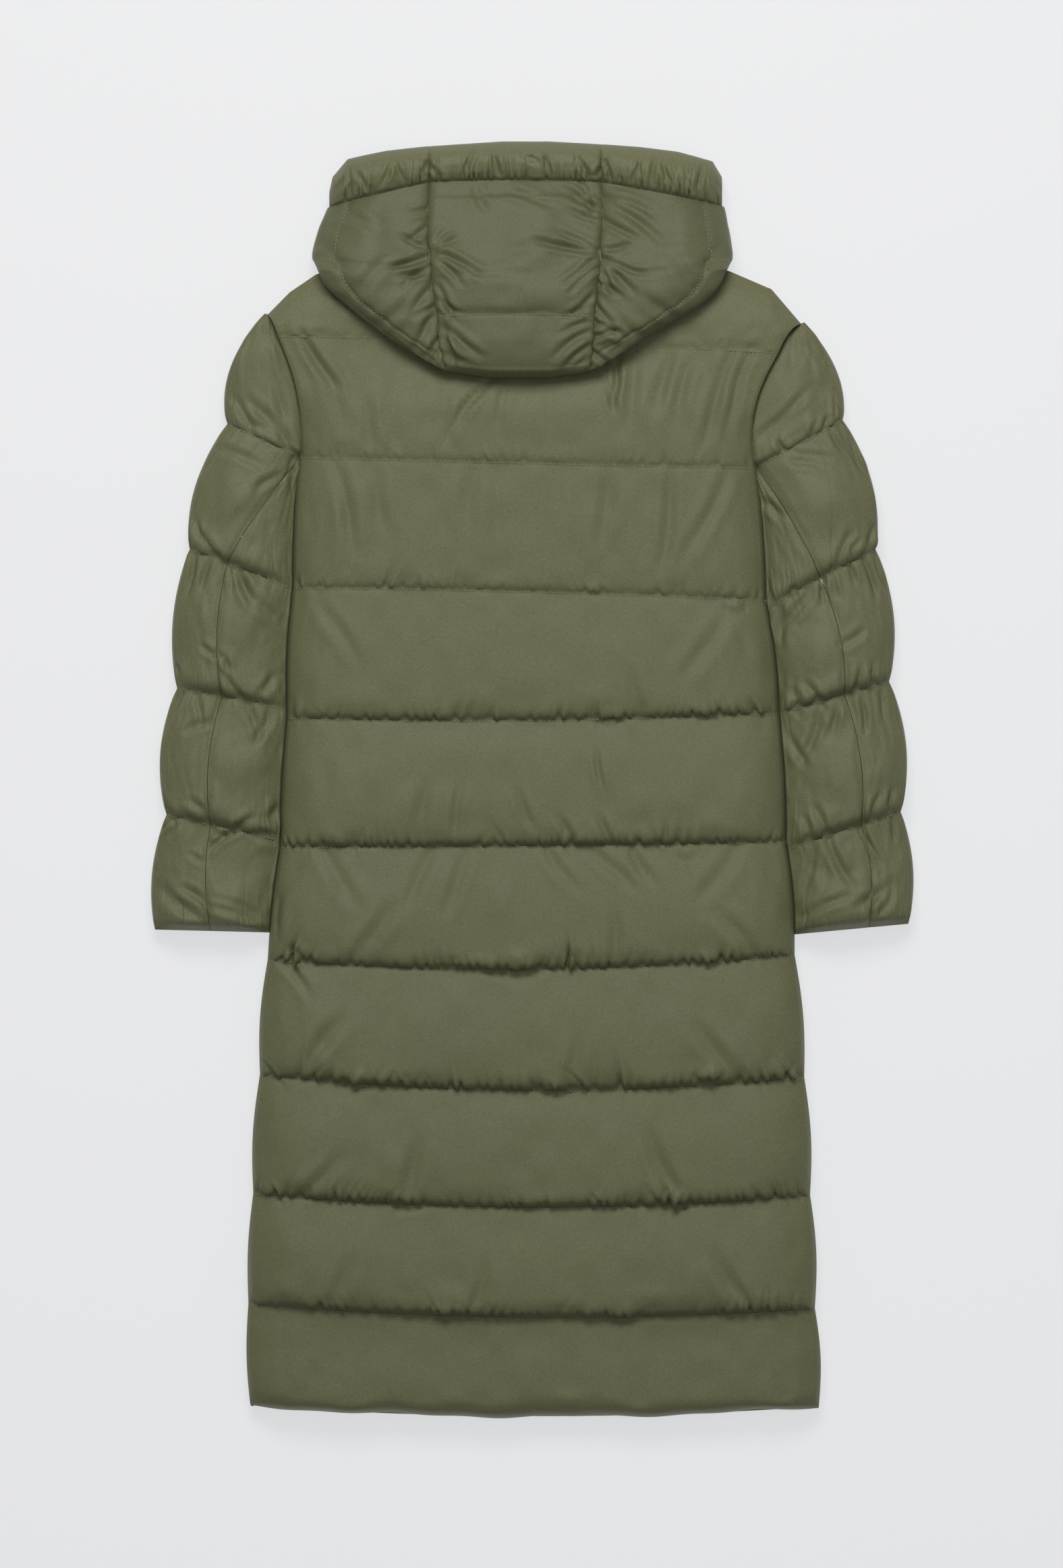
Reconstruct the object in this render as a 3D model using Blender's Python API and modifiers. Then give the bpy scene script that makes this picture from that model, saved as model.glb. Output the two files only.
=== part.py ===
"""Long hooded puffer coat, laid flat with its front on the surface and its back up.

Every padded panel is one open surface, lofted through rows of section points, that a
Solidify modifier turns into a wall: thin along the quilting lines and seams, thick at the
crest of each channel. +Y runs from the hem to the hood and +Z is up. The tables hold
millimetres, and the meshes are made in metres.
"""
import math
from collections import namedtuple

import bpy

MM = 0.001
SEAM_GAP = 0.4            # between two pieces that are sewn together
SIDE_GAP = 1.6            # between a sleeve and the side of the body it lies beside

# Walls and layers
SEAM_WALL = 3.0           # a padded panel where it is stitched flat
FRONT_CREST = 14.0        # the front panels at the crest of a channel
BACK_INSIDE = 15.0        # no part of the back panel's inner face is lower
SIDE_SEAM_Z = 12.0        # where front and back meet along the free sides
SIDE_ROUND = 9.0          # the round under each free side
SIDE_SHOULDER_Z = 16.0    # from here the back's side curves over
SIDE_REACH = 75.0         # width of that curve
ARMHOLE_DROP = 5.0        # groove of the armhole seam below the panels it joins
TURN_Z = SEAM_WALL + SEAM_GAP
CORNER_RISE = 2.0         # lift of the corners beside a turned edge
SEWN_ROUND = 2.5          # the round under the side where it is sewn down flat

# The front closure
ZIP_HALF = 4.0
ZIP_TOP_Y = 496.0
ZIP_BOTTOM_Y = -640.0
ZIP_Z = (2.0, 4.5)
SLIDER_SIZE = (7.0, 18.0, 1.5)
SLIDER_GAP = 0.3          # between the slider and the chain it rides on

# Quilting lines of the body from the shoulders to the hem. Each line is a bow through its
# left end, its middle and its right end; valley is its height on the back, crest and the
# two swells belong to the channel below it (a swell is how far the side stands out).
Line = namedtuple("Line", "name left_x left_y mid_y right_x right_y valley crest swell_l swell_r")
LINES = (
    Line("shoulder", -273, 482, 546, 280, 472, 22, 43.5, 0, 0),
    Line("quilt_1", -262, 459, 454, 256, 442, 30, 42, -10, -14),
    Line("quilt_2", -241, 334, 328, 234, 323, 27, 45, 2, 2),
    Line("quilt_3", -247, 199, 195, 243, 186, 26, 47, 2, 3),
    Line("quilt_4", -253, 64, 62, 257, 69, 26, 49, 2, 2),
    Line("quilt_5", -260, -69, -68, 264, -64, 26, 50, 1, 2),
    Line("quilt_6", -273, -186, -196, 273, -181, 26, 50, 3, 3),
    Line("quilt_7", -281, -305, -321, 283, -308, 26, 50, 3, 3),
    Line("quilt_8", -288, -428, -442, 289, -430, 26, 50, 3, 3),
    Line("quilt_9", -293, -542, -556, 294, -547, 25, 44, 2, 3),
    Line("hem", -291, -649, -660, 298, -650, 14, 14, 0, 0),
)
UNDERARM = 2              # index of the line where the armholes end
CHANNEL_STEPS = (0.0, 0.15, 0.5, 0.85)

# Shoulder seams and necklines, as (x, y)
BACK_TOP = ((-273, 482), (-250, 505), (-222, 524), (-95, 556), (0, 546), (95, 556),
            (205, 527), (249, 508), (280, 472))
FRONT_TOP = ((-273, 482), (-250, 505), (-222, 524), (-95, 553), (-60, 520), (0, 500),
             (60, 520), (95, 553), (205, 527), (249, 508), (280, 472))
NECK_HALF = 100.0

BACK_COLUMNS = (0.0, 0.012, 0.05, 0.13, 0.28, 0.5, 0.72, 0.87, 0.95, 0.988, 1.0)
FRONT_COLUMNS = (0.15, 0.55, 1.0)
FRONT_EXTRA = ((0, 0.3), (len(LINES) - 2, 0.94))
FRONT_SEWN = ((0, 0.0), (0, 0.15), (0, 0.3), (len(LINES) - 2, 1.0))

# Seams of a sleeve from the shoulder's tip to the cuff: outer end, height of the seam's own
# inner end, share of the width from the outer edge to the back seam, height on top at the
# seam and at the crest of the stretch below it, and how far that stretch stands out.
Cuff = namedtuple("Cuff", "name outer_x outer_y inner_y back_seam valley crest swell")
LEFT_SLEEVE = (
    Cuff("cap", -276, 483, 482, 1.0, 24, 38, 17),
    Cuff("seam_1", -315, 369, 334, 0.93, 28, 50, 13),
    Cuff("seam_2", -354, 239, 198, 0.37, 27, 52, 10),
    Cuff("seam_3", -367, 95, 74, 0.41, 27, 52, 10),
    Cuff("seam_4", -378, -36, -62, 0.39, 27, 49, 7),
    Cuff("cuff", -390, -155, -158, 0.49, 24, 24, 0),
)
RIGHT_SLEEVE = (
    Cuff("cap", 283, 474, 472, 1.0, 24, 38, 14),
    Cuff("seam_1", 323, 373, 323, 0.93, 28, 50, 13),
    Cuff("seam_2", 357, 239, 179, 0.51, 27, 52, 10),
    Cuff("seam_3", 371, 102, 69, 0.41, 27, 52, 10),
    Cuff("seam_4", 383, -33, -71, 0.35, 27, 49, 7),
    Cuff("cuff", 391, -149, -160, 0.35, 24, 24, 0),
)
SLEEVE_STEPS = (0.0, 0.16, 0.5, 0.84)
# Rows of the cap, and the rows of the body's side (channel, t) that they are sewn to
CAP_STEPS = (0.0, 0.2, 0.4, 0.6, 0.8)
CAP_SIDE = ((0, 0.0), (1, 0.0), (1, 0.15), (1, 0.5), (1, 0.85))
SLEEVE_UNDER = 9.0        # the layer that lies on the surface
FRONT_SEAM = 0.5          # share of the width, from the outer edge, on the underside
SLEEVE_REACH = 50.0

# Hood: stations from the fold over the back to the brim. Each has its point on the centre
# panel's seams, its point on the outline, and the free end of the layer underneath.
Hood = namedtuple("Hood", "seam_y seam_z left_seam left_x left_y right_seam right_x right_y "
                          "edge_z low_z end_x end_y")
HOOD = (
    Hood(425, 60, -87, -93, 424, 61, 67, 424, 52, 44, 64, 547),
    Hood(452, 69, -94, -143, 452, 64, 115, 454, 52, 44, 82, 551),
    Hood(489, 71, -99, -204, 501, 67, 182, 496, 52, 44, 92, 557),
    Hood(517, 69, -103, -221, 527, 70, 203, 527, 52, 44, 98, 562),
    Hood(531, 66, -103, -226, 539, 71, 208, 539, 20, 0, 99, 570),
    Hood(553, 60, -106, -225, 552, 71, 207, 555, 14, 0, 99, 580),
    Hood(586, 50, -107, -219, 573, 74, 203, 578, 12, 0, 98, 592),
    Hood(618, 38, -105, -211, 593, 72, 200, 594, 12, 0, 97, 604),
)
HOOD_UNDER = 7.0
HOOD_LEG = (0.0, 0.5, 1.0)
HOOD_TOP = (0.0, 0.18, 0.45, 0.72, 0.92)
FOLD_Y = ((0.0, 424), (0.3, 417), (0.7, 417), (1.0, 424))
CENTRE_COLUMNS = (0.0, 0.12, 0.35, 0.65, 0.88, 1.0)
# Brim, as (x of the seam, y of the outline); its seam follows the last station
BRIM_OUT_Y = ((-211, 602), (-206, 625), (-190, 643), (-150, 651), (-107, 656), (-30, 661),
              (18, 661), (74, 658), (112, 655), (152, 650), (188, 641), (198, 625), (202, 604))
BRIM_WIDTH = 38.0         # a narrower stretch has a lower roll
# Round the brim: share of the way out, height over the seam, and wall
Roll = namedtuple("Roll", "share z wall")
BRIM_ROLL = (
    Roll(0.0, 0.0, 3.0),
    Roll(0.2, 6.5, 6.0),
    Roll(0.55, 7.0, 8.0),
    Roll(0.88, -1.0, 6.0),
    Roll(1.0, -14.0, 4.5),
    Roll(0.98, -22.0, 3.0),
)

COLOURS = {"shell": (0.134, 0.140, 0.076, 1.0), "zip": (0.035, 0.038, 0.026, 1.0)}


def lerp(a, b, t):
    return a + (b - a) * t


def along(points, x):
    """Height of a polyline of (x, y) points at x."""
    for (x0, y0), (x1, y1) in zip(points, points[1:]):
        if x <= x1:
            return lerp(y0, y1, max(0.0, (x - x0) / (x1 - x0)))
    return points[-1][1]


def puff(t):
    """A channel's fill from one stitched line to the next."""
    return math.sin(math.pi * min(max(t, 0.0), 1.0)) ** 0.6


def quarter(s):
    """A quarter ellipse: 0 at the edge, 1 where it has levelled out."""
    s = min(max(s, 0.0), 1.0)
    return math.sqrt(1.0 - (1.0 - s) ** 2)


def clear_scene():
    for item in list(bpy.data.objects):
        bpy.data.objects.remove(item)


def material(name, colour, roughness):
    mat = bpy.data.materials.new(name)
    mat.use_nodes = True
    shader = mat.node_tree.nodes["Principled BSDF"]
    shader.inputs["Base Color"].default_value = colour
    shader.inputs["Roughness"].default_value = roughness
    shader.inputs["Metallic"].default_value = 0.0
    return mat


def add_part(name, mesh, parts, finish, roughness):
    part = bpy.data.objects.new(name, mesh)
    mesh.materials.append(material(name + "_" + finish, COLOURS[finish], roughness))
    parts.objects.link(part)
    return part


def padded_panel(name, rows, walls, parts, flip=False):
    """One panel: the outer face as an open loft, made a wall by Solidify."""
    columns = len(rows[0])
    verts = [tuple(c * MM for c in point) for row in rows for point in row]
    faces = []
    for i in range(len(rows) - 1):
        for j in range(columns - 1):
            a = i * columns + j
            quad = (a, a + 1, a + columns + 1, a + columns)
            faces.append(quad[::-1] if flip else quad)
    mesh = bpy.data.meshes.new(name)
    mesh.from_pydata(verts, [], faces)
    part = add_part(name, mesh, parts, "shell", 0.6)
    flat = [wall for row in walls for wall in row]
    thickest = max(flat)
    fill = part.vertex_groups.new(name="fill")
    for index, wall in enumerate(flat):
        fill.add([index], wall / thickest, "REPLACE")
    solid = part.modifiers.new("wall", "SOLIDIFY")
    solid.thickness = thickest * MM
    solid.offset = -1.0
    solid.vertex_group = "fill"
    return part


def side_point(side, channel, t):
    """A point (x, y) on the body's left (-1) or right (+1) side."""
    upper = LINES[channel]
    lower = LINES[channel + 1]
    if side < 0:
        x = lerp(upper.left_x, lower.left_x, t) - upper.swell_l * math.sin(math.pi * t)
        return x, lerp(upper.left_y, lower.left_y, t)
    x = lerp(upper.right_x, lower.right_x, t) + upper.swell_r * math.sin(math.pi * t)
    return x, lerp(upper.right_y, lower.right_y, t)


def side_x(side, y):
    """The body's side at a given height."""
    for channel in range(len(LINES) - 1):
        top = side_point(side, channel, 0.0)[1]
        bottom = side_point(side, channel, 1.0)[1]
        if y >= bottom or channel == len(LINES) - 2:
            return side_point(side, channel, max(0.0, (top - y) / (top - bottom)))[0]
    raise ValueError("below the hem")


def line_y(line, share):
    bow = line.mid_y - (line.left_y + line.right_y) / 2
    return lerp(line.left_y, line.right_y, share) + bow * 4 * share * (1 - share)


def front_fill(channel, t):
    """The fronts are flat where the back is sewn down on them, at shoulders and hem."""
    if channel == 0:
        return puff(t) if t > 0.6 else 0.6 * puff(t) * (t > 0.3)
    if (channel, t) in FRONT_EXTRA:
        return 0.0
    return puff(t)


def body_stations(extra):
    """(channel, t) for every row of the body, from the shoulders to the hem."""
    stations = list(extra)
    for channel in range(len(LINES) - 1):
        stations += [(channel, t) for t in CHANNEL_STEPS]
    stations.append((len(LINES) - 2, 1.0))
    return sorted(stations)


def body_xy(channel, t, share, top):
    left = side_point(-1, channel, t)
    right = side_point(1, channel, t)
    x = lerp(left[0], right[0], share)
    upper = along(top, x) if channel == 0 else line_y(LINES[channel], share)
    return x, lerp(upper, line_y(LINES[channel + 1], share), t)


def openness(channel, t):
    """0 beside the armholes, where the side is sewn to a sleeve, and 1 where it is free."""
    if channel < UNDERARM - 1:
        return 0.0
    if channel > UNDERARM - 1:
        return 1.0
    return max(0.0, (t - 0.5) / 0.5)


def back_height(channel, t, edge_distance):
    """Height of the back's outer face, and the side's height there."""
    valley = lerp(LINES[channel].valley, LINES[channel + 1].valley, t)
    top = valley + (LINES[channel].crest - valley) * puff(t)
    side = lerp(top - ARMHOLE_DROP, min(SIDE_SHOULDER_Z, top), openness(channel, t))
    return side + (top - side) * quarter(edge_distance / SIDE_REACH), side


def back_wall(channel, t, z, edge_distance):
    fill = puff(t) * min(1.0, 0.05 + edge_distance / 60.0)
    return max(SEAM_WALL, SEAM_WALL + (z - BACK_INSIDE - SEAM_WALL) * fill)


def turned(rows, walls, row_z, first):
    """Add a row that turns straight down, at the first or the last row."""
    source = rows[0] if first else rows[-1]
    lip = [(x, y, min(z, row_z(x))) for x, y, z in source]
    for corner in (1, -2):
        x, y, z = lip[corner]
        lip[corner] = (x, y, z + CORNER_RISE)
    lip_walls = [SEAM_WALL] * len(lip)
    if first:
        rows.insert(0, lip)
        walls.insert(0, lip_walls)
    else:
        rows.append(lip)
        walls.append(lip_walls)


def shoulder_turn_z(x):
    return TURN_Z if abs(x) > NECK_HALF else FRONT_CREST


def hem_turn_z(x):
    return TURN_Z


def make_back(parts):
    rows = []
    walls = []
    for channel, t in body_stations(()):
        row = []
        row_walls = []
        for share in BACK_COLUMNS:
            x, y = body_xy(channel, t, share, BACK_TOP)
            left = side_point(-1, channel, t)[0]
            right = side_point(1, channel, t)[0]
            distance = min(x - left, right - x)
            z, side = back_height(channel, t, distance)
            row.append((x, y, z))
            row_walls.append(back_wall(channel, t, z, distance))
        seam_z = lerp(row[0][2] - SEAM_WALL, SIDE_SEAM_Z + SEAM_GAP, openness(channel, t))
        seam_z = min(seam_z, row[0][2] - 1.0)
        row.insert(0, (row[0][0], row[0][1], seam_z))
        row.append((row[-1][0], row[-1][1], seam_z))
        rows.append(row)
        walls.append([SEAM_WALL] + row_walls + [SEAM_WALL])
    turned(rows, walls, shoulder_turn_z, first=True)
    turned(rows, walls, hem_turn_z, first=False)
    padded_panel("back_panel", rows, walls, parts, flip=True)


def make_front(side, parts):
    """A front panel: its outer face is flat on the surface and turns up at the side."""
    rows = []
    walls = []
    for channel, t in body_stations(FRONT_EXTRA):
        edge = side_point(side, channel, t)
        share = 0.0 if side < 0 else 1.0
        edge_y = body_xy(channel, t, share, FRONT_TOP)[1]
        free = openness(channel, t)
        around = lerp(2.0, SIDE_ROUND, free)
        seam_z = min(SIDE_SEAM_Z, lerp(SEAM_WALL, SIDE_SEAM_Z, free) + CORNER_RISE)
        if (channel, t) in FRONT_EXTRA:
            seam_z -= CORNER_RISE
        if (channel, t) in FRONT_SEWN:
            around = SEWN_ROUND
            seam_z = SEAM_WALL
        row = [
            (edge[0], edge_y, seam_z),
            (edge[0], edge_y, min(around, seam_z - SEAM_GAP)),
            (edge[0] - side * 0.3 * around, edge_y, 0.3 * min(around, seam_z)),
            (edge[0] - side * around, edge_y, 0.0),
        ]
        crest = SEAM_WALL + (FRONT_CREST - SEAM_WALL) * front_fill(channel, t)
        row_walls = [SEAM_WALL, SEAM_WALL, SEAM_WALL, lerp(SEAM_WALL, crest, 0.3)]
        centre = side * (ZIP_HALF + SEAM_GAP)
        left_x = side_point(-1, channel, t)[0]
        right_x = side_point(1, channel, t)[0]
        for column in FRONT_COLUMNS:
            x = lerp(edge[0] - side * around, centre, column)
            across = (x - left_x) / (right_x - left_x)
            row.append((x, body_xy(channel, t, across, FRONT_TOP)[1], 0.0))
            row_walls.append(crest)
        rows.append(row)
        walls.append(row_walls)
    name = "front_panel_left" if side < 0 else "front_panel_right"
    padded_panel(name, rows, walls, parts, flip=side > 0)


def sleeve_rows(table, side):
    """(segment, t, outer point, inner point) for every row from the cap to the cuff."""
    rows = []
    for segment in range(len(table) - 1):
        upper = table[segment]
        lower = table[segment + 1]
        steps = SLEEVE_STEPS if segment else CAP_STEPS
        if segment == len(table) - 2:
            steps = steps + (1.0,)
        for index, t in enumerate(steps):
            swell = side * upper.swell * math.sin(math.pi * t) ** 0.8
            outer = (lerp(upper.outer_x, lower.outer_x, t) + swell,
                     lerp(upper.outer_y, lower.outer_y, t))
            if segment == 0:
                inner_x, inner_y = side_point(side, *CAP_SIDE[index])
                inner = (inner_x + side * SEAM_GAP, inner_y)
            else:
                inner_y = lerp(upper.inner_y, lower.inner_y, t)
                gap = lerp(SEAM_GAP, SIDE_GAP, min(1.0, segment - 1 + t * 2))
                inner = (side_x(side, inner_y) + side * gap, inner_y)
            rows.append((segment, t, outer, inner))
    return rows


def sleeve_section(table, segment, t, outer, inner, side):
    """The rounded section of one row, as functions of the share from the outer edge."""
    upper = table[segment]
    lower = table[segment + 1]
    width = abs(inner[0] - outer[0])
    valley = lerp(upper.valley, lower.valley, t)
    crest = valley + (upper.crest - valley) * puff(t)
    reach = min(SLEEVE_REACH, width * 0.5)
    edge_z = min(SIDE_SHOULDER_Z, crest - 4)
    seam_z = LINES[1].valley if segment == 0 else edge_z
    fill = puff(t)

    def point(share, z):
        return lerp(outer[0], inner[0], share), lerp(outer[1], inner[1], share), z

    def top(share):
        rise = quarter(share * width / reach)
        fall = quarter((1 - share) * width / reach)
        z = edge_z + (crest - edge_z) * rise
        if segment == 0:
            return point(share, lerp(min(seam_z, crest - 2), z, fall))
        return point(share, edge_z + (z - edge_z) * fall)

    def wall(share):
        z = top(share)[2]
        near = min(share, 1 - share if segment else 1.0) * width
        most = max(SEAM_WALL, (z - SLEEVE_UNDER - 1.5) * fill * min(1.0, near / 35.0))
        return min(most, 22.0, max(0.9, 0.22 * width))

    return width, edge_z, point, top, wall


def make_sleeve(table, side, parts):
    outer_rows = []
    outer_walls = []
    under_rows = []
    under_walls = []
    for segment, t, outer, inner in sleeve_rows(table, side):
        width, edge_z, point, top, wall = sleeve_section(table, segment, t, outer, inner, side)
        around = min(SIDE_ROUND, 0.2 * width)
        thin = min(SEAM_WALL, 0.22 * width)
        low = min(SLEEVE_UNDER, 0.22 * width)
        share_round = around / width
        back_seam = lerp(table[segment].back_seam, table[segment + 1].back_seam, t)
        front_seam = FRONT_SEAM
        if segment == 0:
            back_seam = 1.0
            front_seam = 1.0
        elif segment == 1:
            front_seam = lerp(0.93, FRONT_SEAM, t)
        gap = 2 * SEAM_GAP / width if segment else 0.0
        row = [point(front_seam, 0.0), point(lerp(front_seam, share_round, 0.5), 0.0),
               point(share_round, 0.0), point(0.3 * share_round, 0.3 * around),
               point(0.0, around), point(0.0, edge_z)]
        row_walls = [low, low, lerp(thin, low, 0.5), thin, thin, thin]
        for step in (0.05, 0.2, 0.42, 0.7, 1.0):
            share = step * back_seam
            row.append(top(share))
            row_walls.append(wall(share) if step < 1.0 or segment == 0 else thin)
        outer_rows.append(row)
        outer_walls.append(row_walls)
        if segment == 0:
            continue
        row = [top(min(back_seam + gap, 0.985))]
        row_walls = [thin]
        for step in (0.3, 0.62, 0.88):
            share = lerp(back_seam, 1.0, step)
            row.append(top(share))
            row_walls.append(wall(share))
        row += [point(1.0, edge_z), point(1.0, around), point(1 - 0.3 * share_round, 0.3 * around),
                point(1 - share_round, 0.0)]
        row_walls += [thin, thin, thin, lerp(thin, low, 0.5)]
        free = min(front_seam + gap, 1 - 1.2 * share_round)
        if free < front_seam + gap:
            outer_rows[-1][0] = point(free - gap, 0.0)
        row.append(point(free, 0.0))
        row_walls.append(low)
        under_rows.append(row)
        under_walls.append(row_walls)
    word = "left" if side < 0 else "right"
    padded_panel("sleeve_" + word + "_outer", outer_rows, outer_walls, parts, flip=side < 0)
    padded_panel("sleeve_" + word + "_under", under_rows, under_walls, parts, flip=side < 0)


def hood_section(station, side):
    """Points and walls of a side panel from the centre seam round to its free end."""
    seam_x = station.left_seam if side < 0 else station.right_seam
    edge_x = station.left_x if side < 0 else station.right_x
    edge_y = station.left_y if side < 0 else station.right_y
    seam_x += side * SEAM_GAP
    width = abs(edge_x - seam_x)
    reach = min(45.0, 0.8 * width)
    around = min(7.0, 0.3 * width)
    room = max(1.2, 0.14 * width)
    thin = min(SEAM_WALL, room)
    points = []
    walls = []
    for share in HOOD_TOP:
        rise = quarter((1 - share) * width / reach)
        arch = 5.0 * math.sin(math.pi * share) * min(1.0, width / 80.0)
        side_z = station.edge_z + 2
        z = side_z + (station.seam_z - side_z) * rise + arch * rise
        points.append((lerp(seam_x, edge_x, share), lerp(station.seam_y, edge_y, share), z))
        walls.append(min(SEAM_WALL + 13.0 * math.sin(math.pi * share) ** 0.7, room))
    walls[0] = SEAM_WALL * min(1.0, width / 12.0)
    length = math.hypot(side * station.end_x - edge_x, station.end_y - edge_y)
    way_x = (side * station.end_x - edge_x) / length
    way_y = (station.end_y - edge_y) / length
    turn = 0.3 * around
    points.append((edge_x, edge_y, station.edge_z))
    points.append((edge_x + turn * way_x, edge_y + turn * way_y,
                   lerp(station.low_z, station.edge_z, 0.3)))
    walls += [thin, thin]
    for leg in HOOD_LEG:
        along_leg = lerp(around, length, leg)
        points.append((edge_x + along_leg * way_x, edge_y + along_leg * way_y, station.low_z))
        filled = lerp(thin, HOOD_UNDER, min(1.0, leg * 2))
        walls.append(SEAM_WALL if station is HOOD[0] else filled)
    return points, walls


def make_hood_side(side, parts):
    rows = []
    walls = []
    for station in HOOD:
        points, thick = hood_section(station, side)
        rows.append(points)
        walls.append(thick)
    name = "hood_side_left" if side < 0 else "hood_side_right"
    padded_panel(name, rows, walls, parts, flip=side < 0)


def make_hood_centre(parts):
    """From the neck seam down the fold over the back, round it, and up to the brim."""
    left = hood_section(HOOD[0], -1)[0]
    right = hood_section(HOOD[0], 1)[0]
    rows = []
    walls = []
    for index in reversed(range(len(left))):
        a = left[index]
        b = right[index]
        if index > len(HOOD_TOP):
            seam_wall = SEAM_WALL
            middle_wall = HOOD_UNDER
        else:
            seam_wall = 0.4 * SEAM_WALL
            middle_wall = SEAM_WALL
        row = []
        row_walls = []
        for share in CENTRE_COLUMNS:
            x = lerp(a[0] + 3 * SEAM_GAP, b[0] - 3 * SEAM_GAP, share)
            y = lerp(a[1], b[1], share) - 2 * SEAM_GAP
            if index <= len(HOOD_TOP) + 1:
                y += along(FOLD_Y, share) - FOLD_Y[0][1]
            row.append((x, y, lerp(a[2], b[2], share)))
            inward = min(1.0, 4 * share, 4 * (1 - share))
            row_walls.append(lerp(seam_wall, middle_wall, inward))
        rows.append(row)
        walls.append(row_walls)
    for station in HOOD[1:]:
        row = []
        row_walls = []
        for share in CENTRE_COLUMNS:
            arch = math.sin(math.pi * share)
            x = lerp(station.left_seam + SEAM_GAP, station.right_seam - SEAM_GAP, share)
            row.append((x, station.seam_y + 2 * arch, station.seam_z + 6 * arch ** 0.7))
            fade = 1.0 if station is not HOOD[-1] else 0.0
            row_walls.append(SEAM_WALL + 12 * arch ** 0.7 * fade)
        rows.append(row)
        walls.append(row_walls)
    padded_panel("hood_centre", rows, walls, parts, flip=False)


def brim_seam():
    """Points of the hood's last row, from the left corner to the right corner."""
    left = hood_section(HOOD[-1], -1)[0]
    right = hood_section(HOOD[-1], 1)[0]
    station = HOOD[-1]
    middle = []
    for share in CENTRE_COLUMNS:
        arch = math.sin(math.pi * share)
        x = lerp(station.left_seam + SEAM_GAP, station.right_seam - SEAM_GAP, share)
        middle.append((x, station.seam_y + 2 * arch, station.seam_z + 6 * arch ** 0.7))
    count = len(HOOD_TOP)
    return left[:count][::-1], middle, right[:count]


def make_brim(parts):
    names = ("hood_brim_left", "hood_brim_centre", "hood_brim_right")
    for name, seam in zip(names, brim_seam()):
        rows = []
        walls = []
        for x, y, z in seam:
            reach = along(BRIM_OUT_Y, x) - y - SEAM_GAP
            scale = min(1.0, reach / BRIM_WIDTH)
            row = []
            row_walls = []
            for roll in BRIM_ROLL:
                lowest = roll.wall + (1.2 if roll.share > 0.9 else 2.5)
                height = max(lowest, z + roll.z * scale)
                row.append((x, y + SEAM_GAP + roll.share * reach, height))
                row_walls.append(max(0.8, roll.wall * scale))
            rows.append(row)
            walls.append(row_walls)
        padded_panel(name, rows, walls, parts, flip=True)


def make_zip(parts):
    """The closed zip between the fronts, and its slider, which lies below the chain."""
    length = ZIP_TOP_Y - ZIP_BOTTOM_Y
    bpy.ops.mesh.primitive_cube_add(size=1.0)
    chain = bpy.context.object
    chain.name = "front_zip"
    scale_box(chain, (2 * ZIP_HALF, length, ZIP_Z[1] - ZIP_Z[0]))
    chain.location = (0.0, (ZIP_TOP_Y + ZIP_BOTTOM_Y) / 2 * MM, sum(ZIP_Z) / 2 * MM)
    chain.data.materials.append(material("front_zip_tape", COLOURS["zip"], 0.5))
    bpy.ops.mesh.primitive_cube_add(size=1.0)
    slider = bpy.context.object
    slider.name = "zip_slider"
    scale_box(slider, SLIDER_SIZE)
    top = ZIP_Z[0] - SLIDER_GAP
    slider.location = (0.0, (ZIP_TOP_Y - SLIDER_SIZE[1]) * MM, (top - SLIDER_SIZE[2] / 2) * MM)
    slider.data.materials.append(material("zip_slider_metal", COLOURS["zip"], 0.35))
    for piece in (chain, slider):
        for owner in list(piece.users_collection):
            owner.objects.unlink(piece)
        parts.objects.link(piece)


def scale_box(box, size):
    for vert in box.data.vertices:
        for axis in range(3):
            vert.co[axis] *= size[axis] * MM


def centre_on_origin(parts):
    """Put the origin under the middle of the coat's box, on the surface it lies on."""
    bpy.context.view_layer.update()
    graph = bpy.context.evaluated_depsgraph_get()
    low = [math.inf] * 3
    high = [-math.inf] * 3
    for part in parts.objects:
        shape = part.evaluated_get(graph)
        for vert in shape.data.vertices:
            place = part.matrix_world @ vert.co
            for axis in range(3):
                low[axis] = min(low[axis], place[axis])
                high[axis] = max(high[axis], place[axis])
    for part in parts.objects:
        part.location.x -= (low[0] + high[0]) / 2
        part.location.y -= (low[1] + high[1]) / 2
        part.location.z -= low[2]


def main():
    clear_scene()
    parts = bpy.data.collections.new("long_puffer_coat")
    bpy.context.scene.collection.children.link(parts)
    make_back(parts)
    make_front(-1, parts)
    make_front(1, parts)
    make_sleeve(LEFT_SLEEVE, -1, parts)
    make_sleeve(RIGHT_SLEEVE, 1, parts)
    make_hood_centre(parts)
    make_hood_side(-1, parts)
    make_hood_side(1, parts)
    make_brim(parts)
    make_zip(parts)
    centre_on_origin(parts)


if __name__ == "__main__":
    main()
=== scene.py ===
import math
from collections import namedtuple

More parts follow.
